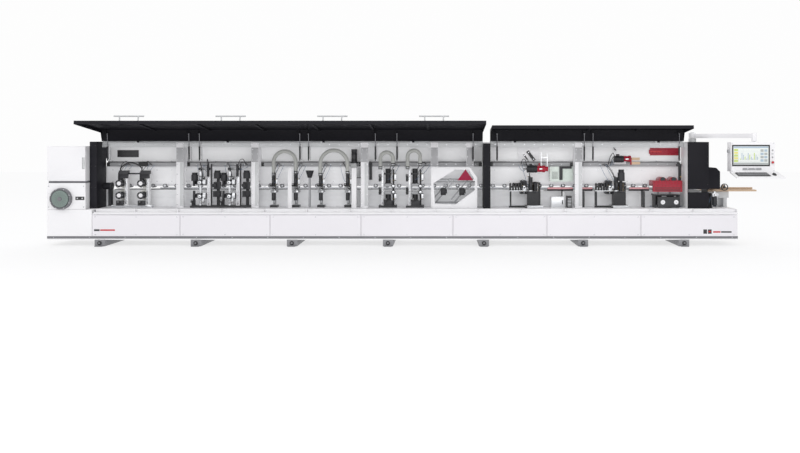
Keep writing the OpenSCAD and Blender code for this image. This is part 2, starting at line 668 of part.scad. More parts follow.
module trim_cutter_first() color([0.75, 0.76, 0.78]) trim_cutter(428);
module trim_cutter_second() color([0.75, 0.76, 0.78]) trim_cutter(-26);

// Two corner rounding units: columns with linear guides, swinging heads and their small motors
module round_frame(x) {
    bx(x + 70, x + 130, -40, 70, deck_z, 1330);
    bx(x - 190, x + 320, -120, 90, deck_z, 636);
    // Drive motors beside the head
    cz(x - 128, -60, 1050, 1150, 56);
    cz(x - 128, -60, 1150, 1186, 46);
    bx(x + 235, x + 275, -40, 20, 630, 1120);
    bx(x + 185, x + 308, -90, -10, 780, 880);
    bx(x + 195, x + 300, -84, -10, 920, 1030);
    cyy(x + 215, -130, -84, 975, 34);
    cyy(x + 280, -120, -84, 830, 28);
    cz(x + 255, -70, 1090, 1190, 58);
    cz(x + 255, -70, 1190, 1222, 48);
    for (s = [-1, 1]) {
        z = 909 + s * 115;
        bx(x - 60, x + 70, -60, 10, z - 45, z + 45);
        cyy(x - 20, -150, -60, z, 42);
        cyy(x - 20, -160, -150, z, 34);
        bx(x - 150, x - 60, -70, 0, z - 30, z + 30);
        cyy(x - 110, -10, 118, z - s * 18, 24);
        cz(x - 130, -90, z - 60, z + 90, 20);
        bx(x + 20, x + 62, -110, -62, z - 30, z + 56);
    }
    bx(x - 60, x - 30, -30, 20, 636, 1220);
    cx(x - 60, x + 130, -60, 1250, 22);
    cz(x + 100, -75, 1120, 1330, 22);
    bx(x - 170, x - 130, -100, 0, 636, 730);
    cyy(x - 150, -118, -100, 700, 14);
}
module rounding_units() color([0.4, 0.41, 0.43]) for (x = [-3130, -2640]) round_frame(x);

// Four fine trimming and scraping heads under the two long hoses, and the glue line scraper
module scrape_head(x, h) {
    bx(x - 60, x + 60, -60, 90, deck_z, 640);
    bx(x - 24, x + 24, 20, 60, 640, 1180);
    motor_up(x, -40, 960, 34, h);
    difference() {
        bx(x - 50, x + 50, -60, 124, 920, 956);
        bx(x - 30, x + 30, -30, 125, 915, 950);
    }
    bx(x - 50, x + 50, -60, 110, 850, 888);
    cz(x, -40, 720, 850, 34);
    cyy(x + 34, -96, -60, 870, 22);
    cyy(x - 34, -96, -60, 935, 22);
}
module scraping_units() color([0.42, 0.43, 0.45]) {
    scrape_head(-1941, 170);
    scrape_head(-1571, 200);
    scrape_head(-1151, 170);
    scrape_head(-698, 200);
    bx(-1690, -1622, -120, -100, 603, 1265);
    bx(-1676, -1636, -100, 40, deck_z, 640);
    bx(-628, -545, -120, -100, 603, 1265);
    bx(-606, -566, -100, 40, deck_z, 640);
    difference() { translate([-1336, -40, 1100]) cylinder(r1 = 34, r2 = 70, h = 120); translate([-1336, -40, 1110]) cylinder(r1 = 28, r2 = 66, h = 120); }
    cz(-1336, -40, deck_z, 1102, 20);
    bx(-660, -560, 60, 100, 900, 1341);
    bx(-660, -560, 60, 100, deck_z, 900);
    motor_up(-600, 60, 1341, 52, 235);
    cx(-560, -430, 80, 1100, 14);
    bx(-345, -300, 40, 90, 1060, 1341);
    bx(-345, -300, 60, 119, 1296, 1341);
    bx(-560, -505, 60, 95, 1100, 1250);
}

// Buffing unit: stand, four inclined motors on slides, and the release agent nozzle
module buffing_unit() color([0.3, 0.31, 0.33]) {
    bx(-4660, -3980, -60, 60, deck_z, 640);
    for (x = [-4500, -4140]) {
        bx(x + 60, x + 110, -36, 60, 636, 1240);
        for (z = [1009, 809]) {
            difference() { union() {
                cyy(x, -120, 40, z, 56);
                cyy(x, -128, -118, z, 62);
                bx(x + 30, x + 62, -60, 30, z - 40, z + 40);
            } cyy(x, -20, 42, z, 12); }
        }
        cz(x, -60, 1040, 1190, 40);
        cz(x, -60, 1188, 1200, 30);
        bx(x - 11, x + 141, -110, -30, 1162, 1222);
        bx(x + 12, x + 122, -104, -34, 1092, 1164);
        bx(x - 64, x + 52, -90, -40, 636, 720);
    }
    cx(-4790, -4660, -40, 960, 58);
    cx(-4660, -4640, -40, 960, 64);
    bx(-4700, -4656, -80, 20, 630, 930);
    bx(-4640, -4280, 160, 170, 1440, 1560);
    cx(-4470, -4175, -60, 1170, 12);
}
// Stitched buffing wheel on its arbor
module buff_wheel(x, z) {
    cyy(x, 62, 122, z, 90);
    cyy(x, -10, 132, z, 11);
    cyy(x, 54, 62, z, 34);
}
module buff_wheel_top_in() color([0.95, 0.95, 0.93]) buff_wheel(-4140, 1009);
module buff_wheel_top_out() color([0.95, 0.95, 0.93]) buff_wheel(-4500, 1009);
module buff_wheel_low_in() color([0.95, 0.95, 0.93]) buff_wheel(-4140, 809);
module buff_wheel_low_out() color([0.95, 0.95, 0.93]) buff_wheel(-4500, 809);

// Corrugated extraction hoses, from the chip hoods up over an arch
module arch(x0, x1, z0, z1, top, y = -40, r = 34) {
    rr = (x1 - x0) / 2;
    zc = top - r - rr;
    translate([(x0 + x1) / 2, y, zc]) rotate([90, 0, 0]) rotate_extrude(angle = 180) translate([rr, 0]) circle(r = r);
    cz(x0, y, z0, zc, r);
    cz(x1, y, z1, zc, r);
}
module dust_hoses() color([0.66, 0.67, 0.69]) {
    arch(-1941 - 0, -1571, 1135, 1165, 1576);
    arch(-1151, -698, 1135, 1165, 1592, y = -95);
    arch(-146, 64, 1245, 1300, 1560, y = -110);
    arch(308, 518, 1245, 1300, 1590, y = -110);
}

// Swinging boom and drop tube of the console
module control_boom() color([0.8, 0.82, 0.84]) {
    a = atan2(boom_q[1] - boom_p[1], boom_q[0] - boom_p[0]);
    l = norm([boom_q[0] - boom_p[0], boom_q[1] - boom_p[1]]);
    difference() {
        union() {
            translate([boom_p[0], boom_p[1], 1764]) rotate(a) translate([0, -36, 0]) cube([l, 72, 72]);
            cz(boom_p[0], boom_p[1], 1762, 1850, 58);
            cz(boom_q[0], boom_q[1], 1712, 1844, 40);
        }
        cz(boom_p[0], boom_p[1], 1750, 1870, 30.05);
        cz(boom_q[0], boom_q[1], 1700, 1790, 24.05);
    }
}
// Control housing with its sloped keyboard shelf
module console_housing() color([0.95, 0.96, 0.97]) {
    x1 = con_x0 + con_w;
    difference() {
        bx(con_x0, x1, con_y0, con_y0 + con_d, con_z0, con_z0 + con_h);
        bx(con_x0 + 4, x1 - 4, con_y0 + 4, con_y0 + con_d - 4, con_z0 + 4, con_z0 + con_h - 4);
        bx(5465, 6065, con_y0 - 1, con_y0 + 5, 1317, 1657);
        cyy(6105, con_y0 - 1, con_y0 + 6, 1380, 17.05);
    }
    cz(boom_q[0], boom_q[1], 1695, 1704, 70);
    cz(boom_q[0], boom_q[1], 1700, 1788, 24);
    bx(5620, 5940, con_y0 - 2, con_y0, 1248, 1300);
    // Shelf
    translate([con_x0 - 24, con_y0 + 10, 1235]) rotate([14, 0, 0]) translate([0, -330, -22]) difference() {
        cube([con_w + 64, 330, 22]);
        translate([6, 6, -1]) cube([con_w + 52, 318, 18]);
    }
    bx(5500, 5540, con_y0 + 2, con_y0 + 60, 1190, 1235);
    bx(6060, 6100, con_y0 + 2, con_y0 + 60, 1190, 1235);
    // Clamp knob on the side
    cx(con_x0 - 34, con_x0, con_y0 + 90, 1554, 26);
}
module console_screen() color([0.85, 0.87, 0.86])
    bx(5466, 6064, con_y0 + 0.5, con_y0 + 4, 1318, 1656);
module keyboard_and_mouse() color([0.12, 0.12, 0.13])
    translate([con_x0 - 24, con_y0 + 10, 1235]) rotate([14, 0, 0]) translate([0, -330, 0]) {
        translate([45, 60, 0]) cube([500, 170, 20]);
        translate([600, 90, 0]) cube([64, 110, 30]);
    }
// Emergency stop button
module emergency_stop() color([0.55, 0.08, 0.1]) {
    cyy(6105, con_y0 - 22, con_y0 - 6, 1380, 20);
    cyy(6105, con_y0 - 6, con_y0 + 30, 1380, 17);
}

base_frame();
front_panels();
cross_feet();
levelling_screws();
left_lower_cover();
left_upper_cabinet();
round_port_cover();
cabinet_door();
door_handle();
outfeed_wall();
partition_wall();
infeed_guard();
gantry_frame();
rear_top_cover();
feed_track();
feed_chain();
drive_sprocket();
idler_sprocket();
drive_gearmotor();
pressure_beam();
pressure_wheels();
long_hood();
hood_handles();
short_hood();
long_strut_cylinders();
long_strut_rods();
short_strut_cylinders();
short_strut_rods();
infeed_table();
infeed_fence();
fence_handwheel();
air_service_unit();
rear_support_rail();
premill_unit();
premill_cutter_first();
premill_cutter_second();
glue_unit_frames();
glue_roller_first();
glue_roller_second();
press_roller_first();
press_roller_second();
end_trim_frame();
end_trim_saw_lead();
end_trim_saw_trail();
trimming_units();
trim_cutter_first();
trim_cutter_second();
rounding_units();
scraping_units();
buffing_unit();
buff_wheel_top_in();
buff_wheel_top_out();
buff_wheel_low_in();
buff_wheel_low_out();
dust_hoses();
control_boom();
console_housing();
console_screen();
keyboard_and_mouse();
emergency_stop();
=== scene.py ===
import bpy, bmesh, math, json, random
from mathutils import Vector, Matrix

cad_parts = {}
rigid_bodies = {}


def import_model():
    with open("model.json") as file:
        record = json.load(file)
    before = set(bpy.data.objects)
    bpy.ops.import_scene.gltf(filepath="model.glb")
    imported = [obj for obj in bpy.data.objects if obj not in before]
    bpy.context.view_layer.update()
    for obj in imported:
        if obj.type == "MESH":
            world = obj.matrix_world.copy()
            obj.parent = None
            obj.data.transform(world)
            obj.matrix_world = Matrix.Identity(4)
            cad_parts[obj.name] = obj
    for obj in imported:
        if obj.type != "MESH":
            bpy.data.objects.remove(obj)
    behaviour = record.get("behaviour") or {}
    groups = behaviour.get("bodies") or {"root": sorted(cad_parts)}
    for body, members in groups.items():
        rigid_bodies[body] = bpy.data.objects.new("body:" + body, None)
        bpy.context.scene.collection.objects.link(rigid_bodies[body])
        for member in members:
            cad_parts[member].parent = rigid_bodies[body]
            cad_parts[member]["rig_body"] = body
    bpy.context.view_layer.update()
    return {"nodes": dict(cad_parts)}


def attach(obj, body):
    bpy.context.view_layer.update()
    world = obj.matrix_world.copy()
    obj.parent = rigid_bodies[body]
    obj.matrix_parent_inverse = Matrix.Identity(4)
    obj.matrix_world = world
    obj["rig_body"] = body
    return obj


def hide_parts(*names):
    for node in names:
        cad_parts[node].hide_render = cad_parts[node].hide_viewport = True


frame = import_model()
nodes = frame["nodes"]
rnd = random.Random(7)
scn = bpy.context.scene

# ---------------------------------------------------------------- camera
cam_d = bpy.data.cameras.new("cam")
cam = bpy.data.objects.new("cam", cam_d)
scn.collection.objects.link(cam)
cam.location = (0.848, -13.775, 1.744)
cam.rotation_euler = (math.radians(90), 0, 0)
cam_d.sensor_width = 36
cam_d.lens = 36.86
cam_d.shift_x = -0.05
cam_d.shift_y = -0.109
cam_d.clip_end = 200
scn.camera = cam

# ---------------------------------------------------------------- materials
def new_mat(name, color, metallic=0.0, rough=0.45, var=0.06, bump=0.04, scale=60.0, coat=0.0, wear=0.0,
            wear_color=None, rvar=0.12, large=1.2, sheen=0.0, spec=0.5):
    """A painted, cast or moulded finish: broad tone variation, fine texture, uneven roughness and rubbed edges."""
    m = bpy.data.materials.new(name)
    m.use_nodes = True
    nt = m.node_tree
    N, L = nt.nodes, nt.links
    bs = N["Principled BSDF"]
    bs.inputs["Metallic"].default_value = metallic
    bs.inputs["Coat Weight"].default_value = coat
    bs.inputs["Specular IOR Level"].default_value = spec
    if sheen:
        bs.inputs["Sheen Weight"].default_value = sheen
    tc = N.new("ShaderNodeTexCoord")
    n1 = N.new("ShaderNodeTexNoise"); n1.inputs["Scale"].default_value = large; n1.inputs["Detail"].default_value = 6
    n2 = N.new("ShaderNodeTexNoise"); n2.inputs["Scale"].default_value = scale; n2.inputs["Detail"].default_value = 4
    L.new(tc.outputs["Object"], n1.inputs["Vector"]); L.new(tc.outputs["Object"], n2.inputs["Vector"])
    ramp = N.new("ShaderNodeValToRGB")
    c = Vector(color[:3])
    ramp.color_ramp.elements[0].position = 0.3; ramp.color_ramp.elements[1].position = 0.7
    ramp.color_ramp.elements[0].color = (*(c * (1 - var)), 1)
    ramp.color_ramp.elements[1].color = (*[min(1, v) for v in (c * (1 + var))], 1)
    L.new(n1.outputs["Fac"], ramp.inputs["Fac"])
    col = ramp.outputs["Color"]
    if wear > 0:
        geo = N.new("ShaderNodeNewGeometry")
        wr = N.new("ShaderNodeMapRange"); wr.inputs["From Min"].default_value = 0.52; wr.inputs["From Max"].default_value = 0.62
        L.new(geo.outputs["Pointiness"], wr.inputs["Value"])
        mul = N.new("ShaderNodeMath"); mul.operation = "MULTIPLY"
        L.new(wr.outputs["Result"], mul.inputs[0]); L.new(n2.outputs["Fac"], mul.inputs[1])
        mul2 = N.new("ShaderNodeMath"); mul2.operation = "MULTIPLY"; mul2.inputs[1].default_value = wear
        L.new(mul.outputs[0], mul2.inputs[0])
        mx = N.new("ShaderNodeMix"); mx.data_type = "RGBA"
        L.new(mul2.outputs[0], mx.inputs[0]); L.new(col, mx.inputs[6])
        mx.inputs[7].default_value = (*(wear_color or (c * 0.5 + Vector((0.25, 0.25, 0.25)))), 1)
        col = mx.outputs[2]
    L.new(col, bs.inputs["Base Color"])
    rr = N.new("ShaderNodeMapRange")
    rr.inputs["To Min"].default_value = max(0.03, rough - rvar); rr.inputs["To Max"].default_value = min(1, rough + rvar)
    rr.inputs["From Min"].default_value = 0.3; rr.inputs["From Max"].default_value = 0.7
    n3 = N.new("ShaderNodeTexNoise"); n3.inputs["Scale"].default_value = scale * 0.12; n3.inputs["Detail"].default_value = 8
    L.new(tc.outputs["Object"], n3.inputs["Vector"]); L.new(n3.outputs["Fac"], rr.inputs["Value"])
    L.new(rr.outputs["Result"], bs.inputs["Roughness"])
    bp = N.new("ShaderNodeBump"); bp.inputs["Strength"].default_value = bump; bp.inputs["Distance"].default_value = 0.001
    L.new(n2.outputs["Fac"], bp.inputs["Height"]); L.new(bp.outputs["Normal"], bs.inputs["Normal"])
    return m

def brushed(name, color, axis=0, rough=0.32, metallic=1.0, wave=350.0, bump=0.05):
    """Machined or drawn metal: fine lines along one direction in the bump, uneven roughness."""
    m = new_mat(name, color, metallic, rough, 0.05, bump, 90, rvar=0.1)
    N, L = m.node_tree.nodes, m.node_tree.links
    mp = N.new("ShaderNodeMapping")
    s = [wave] * 3; s[axis] = 3.0
    mp.inputs["Scale"].default_value = s
    tc = N.new("ShaderNodeTexCoord"); L.new(tc.outputs["Object"], mp.inputs["Vector"])
    nz = N.new("ShaderNodeTexNoise"); nz.inputs["Scale"].default_value = 1.0; nz.inputs["Detail"].default_value = 3
    L.new(mp.outputs["Vector"], nz.inputs["Vector"])
    bp = [n for n in N if n.type == "BUMP"][0]
    L.new(nz.outputs["Fac"], bp.inputs["Height"])
    return m

M = {}
M["white"] = new_mat("white_powder_coat", (0.80, 0.795, 0.815), 0, 0.38, 0.02, 0.05, 420, coat=0.05, wear=0.15, spec=0.4)
M["panel"] = new_mat("panel_powder_coat", (0.745, 0.73, 0.765), 0, 0.4, 0.015, 0.05, 420, coat=0.05, wear=0.15, spec=0.4)
M["seam"] = new_mat("joint_shadow_grey", (0.26, 0.26, 0.28), 0, 0.6, 0.05, 0.05, 300)
M["grey"] = new_mat("grey_coat_and_painted_groove_shade", (0.33, 0.335, 0.35), 0, 0.42, 0.04, 0.05, 420, wear=0.2)
M["pale"] = new_mat("pale_grey_powder_coat", (0.56, 0.57, 0.58), 0, 0.4, 0.03, 0.05, 420, wear=0.15)
M["rail"] = new_mat("dark_rail_paint", (0.15, 0.15, 0.163), 0, 0.45, 0.08, 0.06, 300, wear=0.3)
M["guide"] = new_mat("guide_rail_grey", (0.36, 0.36, 0.375), 0, 0.42, 0.05, 0.05, 300, wear=0.3)
M["black"] = new_mat("black_textured_coat", (0.0075, 0.0072, 0.0105), 0, 0.5, 0.15, 0.12, 700, wear=0.25, wear_color=(0.06, 0.06, 0.07), spec=0.16)
M["dark"] = new_mat("motor_black_paint", (0.017, 0.017, 0.02), 0.0, 0.42, 0.15, 0.08, 260, wear=0.5, wear_color=(0.2, 0.2, 0.21), spec=0.3)
M["cast"] = new_mat("cast_grey_paint", (0.60, 0.605, 0.61), 0.0, 0.5, 0.1, 0.2, 180, wear=0.3)
M["red"] = new_mat("crimson_paint", (0.33, 0.003, 0.022), 0, 0.32, 0.06, 0.04, 300, coat=0.1, wear=0.2, spec=0.3)
M["tan"] = new_mat("tan_phenolic_board", (0.56, 0.40, 0.27), 0, 0.42, 0.1, 0.05, 160, wear=0.3, large=3.0)
M["interior"] = new_mat("back_cover_grey_coat_painted_glow", (0.78, 0.78, 0.79), 0, 0.42, 0.03, 0.05, 420, wear=0.15)
M["footgrey"] = new_mat("foot_dark_grey_paint", (0.21, 0.212, 0.225), 0, 0.45, 0.05, 0.06, 300, wear=0.3)
M["sign"] = new_mat("crimson_sign_face", (0.30, 0.004, 0.04), 0, 0.35, 0.10, 0.03, 200, spec=0.25)
M["beam_white"] = new_mat("beam_cover_white_painted_glow", (0.84, 0.84, 0.855), 0, 0.38, 0.02, 0.05, 420, wear=0.15, spec=0.4)
M["track"] = new_mat("track_plate_grey_painted_glow", (0.74, 0.745, 0.76), 0, 0.45, 0.04, 0.08, 300, wear=0.2)
# Painted light: the beam cover, track plate and back cover glow faintly (emission) to brighten the shaded interior
# behind the units, though none of them is a lamp.
for k_, painted_fill_glow in (("beam_white", 0.13), ("track", 0.11), ("interior", 0.05)):
    b_ = M[k_].node_tree.nodes["Principled BSDF"]
    b_.inputs["Emission Color"].default_value = (0.97, 0.97, 1, 1); b_.inputs["Emission Strength"].default_value = painted_fill_glow
M["redplastic"] = new_mat("red_plastic", (0.5, 0.01, 0.015), 0, 0.28, 0.05, 0.02, 300, coat=0.2)
M["steel"] = brushed("machined_steel", (0.55, 0.56, 0.58), 0, 0.3)
M["steelz"] = brushed("turned_steel", (0.6, 0.61, 0.63), 2, 0.25)
M["alu"] = brushed("anodised_aluminium", (0.66, 0.67, 0.69), 0, 0.36, bump=0.03)
M["chrome"] = brushed("polished_rod", (0.78, 0.79, 0.8), 2, 0.12, bump=0.01)
M["rubber"] = new_mat("black_rubber", (0.02, 0.02, 0.021), 0, 0.72, 0.15, 0.25, 220)
M["plastic"] = new_mat("black_plastic", (0.025, 0.025, 0.027), 0, 0.48, 0.08, 0.1, 500)
M["hose"] = new_mat("grey_hose_plastic", (0.43, 0.435, 0.42), 0, 0.46, 0.08, 0.08, 200)
M["port"] = new_mat("grey_green_plastic", (0.17, 0.215, 0.20), 0, 0.5, 0.06, 0.08, 300)
M["brass"] = brushed("brass_fitting", (0.6, 0.42, 0.16), 2, 0.3)
M["cotton"] = new_mat("stitched_cotton", (0.78, 0.77, 0.73), 0, 0.9, 0.08, 0.6, 140, sheen=0.4)
M["blue_tube"] = new_mat("blue_air_tube", (0.16, 0.23, 0.34), 0, 0.35, 0.05, 0.02, 100)
M["black_tube"] = new_mat("black_cable_jacket", (0.022, 0.022, 0.024), 0, 0.45, 0.1, 0.06, 200)
M["tyre"] = new_mat("grey_polyurethane_tyre", (0.24, 0.24, 0.25), 0, 0.6, 0.1, 0.12, 220)
M["mint"] = new_mat("pale_mint_cover", (0.66, 0.73, 0.68), 0, 0.3, 0.03, 0.03, 300, coat=0.15)
M["rod"] = brushed("strut_rod", (0.22, 0.22, 0.235), 2, 0.25, bump=0.01)
M["pink"] = new_mat("rose_guide_strip", (0.72, 0.34, 0.36), 0, 0.4, 0.06, 0.04, 200)
M["glass_dark"] = new_mat("dark_sight_glass", (0.02, 0.025, 0.03), 0, 0.08, 0.05, 0.0, 40)

# ---------------------------------------------------------------- mesh helpers
def to_obj(name, bm, mat, body, smooth=35, mats=None):
    me = bpy.data.meshes.new(name)
    bm.normal_update()
    bm.to_mesh(me); bm.free()
    ob = bpy.data.objects.new(name, me)
    scn.collection.objects.link(ob)
    for mm in (mats or [mat]):
        me.materials.append(mm)
    if smooth:
        me.polygons.foreach_set("use_smooth", [True] * len(me.polygons))
        me.set_sharp_from_angle(angle=math.radians(smooth))
    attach(ob, body)
    return ob

def add_box(bm, x0, x1, y0, y1, z0, z1, bev=0.002, mi=0, mat4=None, seg=2):
    tmp = bmesh.new()
    bmesh.ops.create_cube(tmp, size=1.0)
    for v in tmp.verts:
        v.co = Vector((x0 + (v.co.x + 0.5) * (x1 - x0), y0 + (v.co.y + 0.5) * (y1 - y0), z0 + (v.co.z + 0.5) * (z1 - z0)))
    b = min(bev, 0.45 * min(x1 - x0, y1 - y0, z1 - z0))
    if b > 0:
        bmesh.ops.bevel(tmp, geom=tmp.edges[:], offset=b, segments=seg, profile=0.5, affect="EDGES")
    merge(bm, tmp, mi, mat4)

def merge(bm, tmp, mi=0, mat4=None):
    if mat4 is not None:
        bmesh.ops.transform(tmp, matrix=mat4, verts=tmp.verts)
    vm = {}
    for v in tmp.verts:
        vm[v] = bm.verts.new(v.co)
    for f in tmp.faces:
        try:
            nf = bm.faces.new([vm[v] for v in f.verts]); nf.material_index = mi
        except ValueError:
            pass
    tmp.free()

def lathe(bm, profile, segs=32, mi=0, mat4=None):
    """profile: (radius, height) from the bottom's axis to the top's axis; turned about Z."""
    tmp = bmesh.new()
    rings = []
    for r, z in profile:
        if r < 1e-6:
            rings.append([tmp.verts.new((0, 0, z))])
        else:
            rings.append([tmp.verts.new((r * math.cos(2 * math.pi * k / segs), r * math.sin(2 * math.pi * k / segs), z)) for k in range(segs)])
    for a, b in zip(rings, rings[1:]):
        for k in range(segs):
            k2 = (k + 1) % segs
            if len(a) == 1 and len(b) == 1: continue
            if len(a) == 1: tmp.faces.new((a[0], b[k], b[k2]))
            elif len(b) == 1: tmp.faces.new((a[k], b[0], a[k2])) if False else tmp.faces.new((a[k2], a[k], b[0]))
            else: tmp.faces.new((a[k2], a[k], b[k], b[k2]))
    bmesh.ops.recalc_face_normals(tmp, faces=tmp.faces)
    merge(bm, tmp, mi, mat4)

def axis_m(p, ax="z"):
    r = {"z": Matrix.Identity(4), "y": Matrix.Rotation(math.radians(-90), 4, "X"), "-y": Matrix.Rotation(math.radians(90), 4, "X"),
         "x": Matrix.Rotation(math.radians(90), 4, "Y"), "-x": Matrix.Rotation(math.radians(-90), 4, "Y"), "-z": Matrix.Rotation(math.pi, 4, "X")}[ax]
    return Matrix.Translation(Vector(p)) @ r

def add_cyl(bm, p, r, h, ax="z", bev=0.0015, segs=28, mi=0):
    b = min(bev, r * 0.4, h * 0.4)
    lathe(bm, [(0, 0), (r - b, 0), (r, b), (r, h - b), (r - b, h), (0, h)], segs, mi, axis_m(p, ax))

def add_bolt(bm, p, ax="-y", r=0.009, mi=0):
    """Socket head screw with its washer."""
    lathe(bm, [(0, 0), (r * 1.5, 0), (r * 1.5, 0.0015), (r, 0.002), (r, 0.008), (r * 0.88, 0.009), (r * 0.5, 0.009), (r * 0.45, 0.004), (0, 0.004)],
          10, mi, axis_m(p, ax))

def catmull(pts, n=10):
    P = [Vector(p) for p in pts]
    P = [P[0] * 2 - P[1]] + P + [P[-1] * 2 - P[-2]]
    out = []
    for i in range(1, len(P) - 2):
        for k in range(n):
            t = k / n
            a, b, c, d = P[i - 1], P[i], P[i + 1], P[i + 2]
            out.append(0.5 * ((2 * b) + (-a + c) * t + (2 * a - 5 * b + 4 * c - d) * t * t + (-a + 3 * b - 3 * c + d) * t ** 3))
    out.append(P[-2])
    return out

def sweep(bm, path, radius, segs=10, mi=0, caps=True):
    """Tube along a path; radius is a number or a function of the index."""
    n = len(path)
    prev = None
    rings = []
    for i, p in enumerate(path):
        t = (path[min(i + 1, n - 1)] - path[max(i - 1, 0)]).normalized()
        if prev is None:
            up = Vector((0, 0, 1)) if abs(t.z) < 0.9 else Vector((1, 0, 0))
            u = t.cross(up).normalized()
        else:
            u = (prev - t * prev.dot(t)).normalized()
        prev = u
        w = t.cross(u)
        r = radius(i) if callable(radius) else radius
        rings.append([bm.verts.new(p + (u * math.cos(2 * math.pi * k / segs) + w * math.sin(2 * math.pi * k / segs)) * r) for k in range(segs)])
    for a, b in zip(rings, rings[1:]):
        for k in range(segs):
            f = bm.faces.new((a[k], a[(k + 1) % segs], b[(k + 1) % segs], b[k])); f.material_index = mi
    if caps:
        f = bm.faces.new(list(reversed(rings[0]))); f.material_index = mi
        f = bm.faces.new(rings[-1]); f.material_index = mi

def hose(bm, pts, r, pitch=0.012, depth=0.12, mi=0):
    """Corrugated hose: ribs are real geometry."""
    path = catmull(pts, 40)
    length = sum((a - b).length for a, b in zip(path, path[1:]))
    n = max(16, int(length / pitch) * 3)
    cum = [0]
    for a, b in zip(path, path[1:]): cum.append(cum[-1] + (a - b).length)
    out = []; j = 0
    for i in range(n + 1):
        s = length * i / n
        while j < len(cum) - 2 and cum[j + 1] < s: j += 1
        t = (s - cum[j]) / max(1e-9, cum[j + 1] - cum[j])
        out.append(path[j].lerp(path[j + 1], min(1, t)))
    sweep(bm, out, lambda i: r * (1 - depth * (1 if i % 3 == 0 else 0)), 20, mi)

# ---------------------------------------------------------------- CAD nodes: softened edges
def refine(node, mat, width=0.002, seg=2, angle=40, mats=None, index=None, join=True):
    """A copy of the node with rounded edges stands for it, in the same place."""
    src = nodes[node]
    bm = bmesh.new(); bm.from_mesh(src.data)
    bmesh.ops.remove_doubles(bm, verts=bm.verts, dist=0.00005)
    if join: bmesh.ops.dissolve_limit(bm, angle_limit=math.radians(0.6), verts=bm.verts, edges=bm.edges, delimit={"NORMAL"})
    me = bpy.data.meshes.new(node + "_finished")
    bm.to_mesh(me); bm.free()
    ob = bpy.data.objects.new(node + "_finished", me)
    scn.collection.objects.link(ob)
    md = ob.modifiers.new("edge", "BEVEL"); md.width = width; md.segments = seg; md.limit_method = "ANGLE"; md.angle_limit = math.radians(angle)
    md.use_clamp_overlap = True; md.miter_outer = "MITER_ARC"
    dg = bpy.context.evaluated_depsgraph_get()
    me2 = bpy.data.meshes.new_from_object(ob.evaluated_get(dg))
    ob.modifiers.clear(); ob.data = me2
    me2.materials.clear()
    for mm in (mats or [mat]): me2.materials.append(mm)
    if index:
        for p in me2.polygons: p.material_index = index(p.center, p.normal)
    else:
        for p in me2.polygons: p.material_index = 0
    me2.polygons.foreach_set("use_smooth", [True] * len(me2.polygons))
    me2.set_sharp_from_angle(angle=math.radians(30))
    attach(ob, src["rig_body"])
    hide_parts(node)
    return ob

def keep(node, mat):
    o = nodes[node]
    o.data.materials.clear(); o.data.materials.append(mat)
    for p in o.data.polygons: p.material_index = 0
    return o

Z_RAIL = 0.164
def base_index(c, n):
    if c.z < 0.1361: return 0
    if c.z < 0.167: return 1
    # Painted shade: the front faces of the groove under the top rail take the grey finish to darken the recess.
    if c.y < -0.38 and 0.503 < c.z < 0.5265: return 2
    return 0
refine("base_frame", None, 0.003, mats=[M["white"], M["rail"], M["grey"]], index=base_index)
refine("front_panels", M["panel"], 0.003, 2, join=False)
refine("cross_feet", M["footgrey"], 0.003)
refine("left_lower_cover", M["white"], 0.006, 3)
refine("left_upper_cabinet", None, 0.006, 3, mats=[M["white"], M["plastic"], M["rail"]],
       index=lambda c, n: 1 if (c.x > -5.53 and c.x < -4.96 and c.z > 1.1 and c.z < 1.6 and -0.35 < c.y < 0.088) else (2 if c.z < 1.0615 else 0))
refine("cabinet_door", M["white"], 0.004, 3)
refine("outfeed_wall", M["black"], 0.004, 3)
refine("partition_wall", M["black"], 0.004, 3)
refine("infeed_guard", None, 0.004, 3, mats=[M["black"], M["pale"], M["interior"]], index=lambda c, n: 1 if c.z > 1.701 else 2 if (c.x < 4.9305 and n.x < -0.9) else 0)
refine("gantry_frame", None, 0.002, mats=[M["white"], M["pale"], M["guide"], M["steel"]],
       index=lambda c, n: 2 if (0.119 < c.y < 0.167 and c.z < 1.352) else (1 if c.z > 1.61 else (1 if abs(n.x) > 0.9 else 0)))
refine("rear_top_cover", M["interior"], 0.004, 3)
refine("feed_track", M["track"], 0.002)
refine("drive_gearmotor", M["dark"], 0.004, 3)
refine("pressure_beam", M["beam_white"], 0.003)
refine("long_hood", M["black"], 0.003, 2)
refine("short_hood", M["black"], 0.003, 2)
refine("infeed_table", None, 0.003, mats=[M["tan"], M["pale"]], index=lambda c, n: 1 if c.z < 0.8655 else 0)
refine("air_service_unit", None, 0.002, mats=[M["alu"], M["glass_dark"], M["dark"]], index=lambda c, n: 2 if c.x < 5.43 and c.z < 0.80 and not (c.z < 0.70 and c.y < -0.15 and c.x > 5.357) else (1 if c.z < 0.70 and c.y < -0.15 and c.x > 5.357 else 0))
refine("rear_support_rail", M["alu"], 0.002)
refine("premill_unit", None, 0.003, 3, mats=[M["red"], M["dark"], M["white"], M["alu"]],
       index=lambda c, n: (1 if c.z < 0.80 else 2 if c.z < 0.8695 else 1 if (c.x > 4.808 and c.z > 1.056) else 0) if c.y < 0.15 else 0)
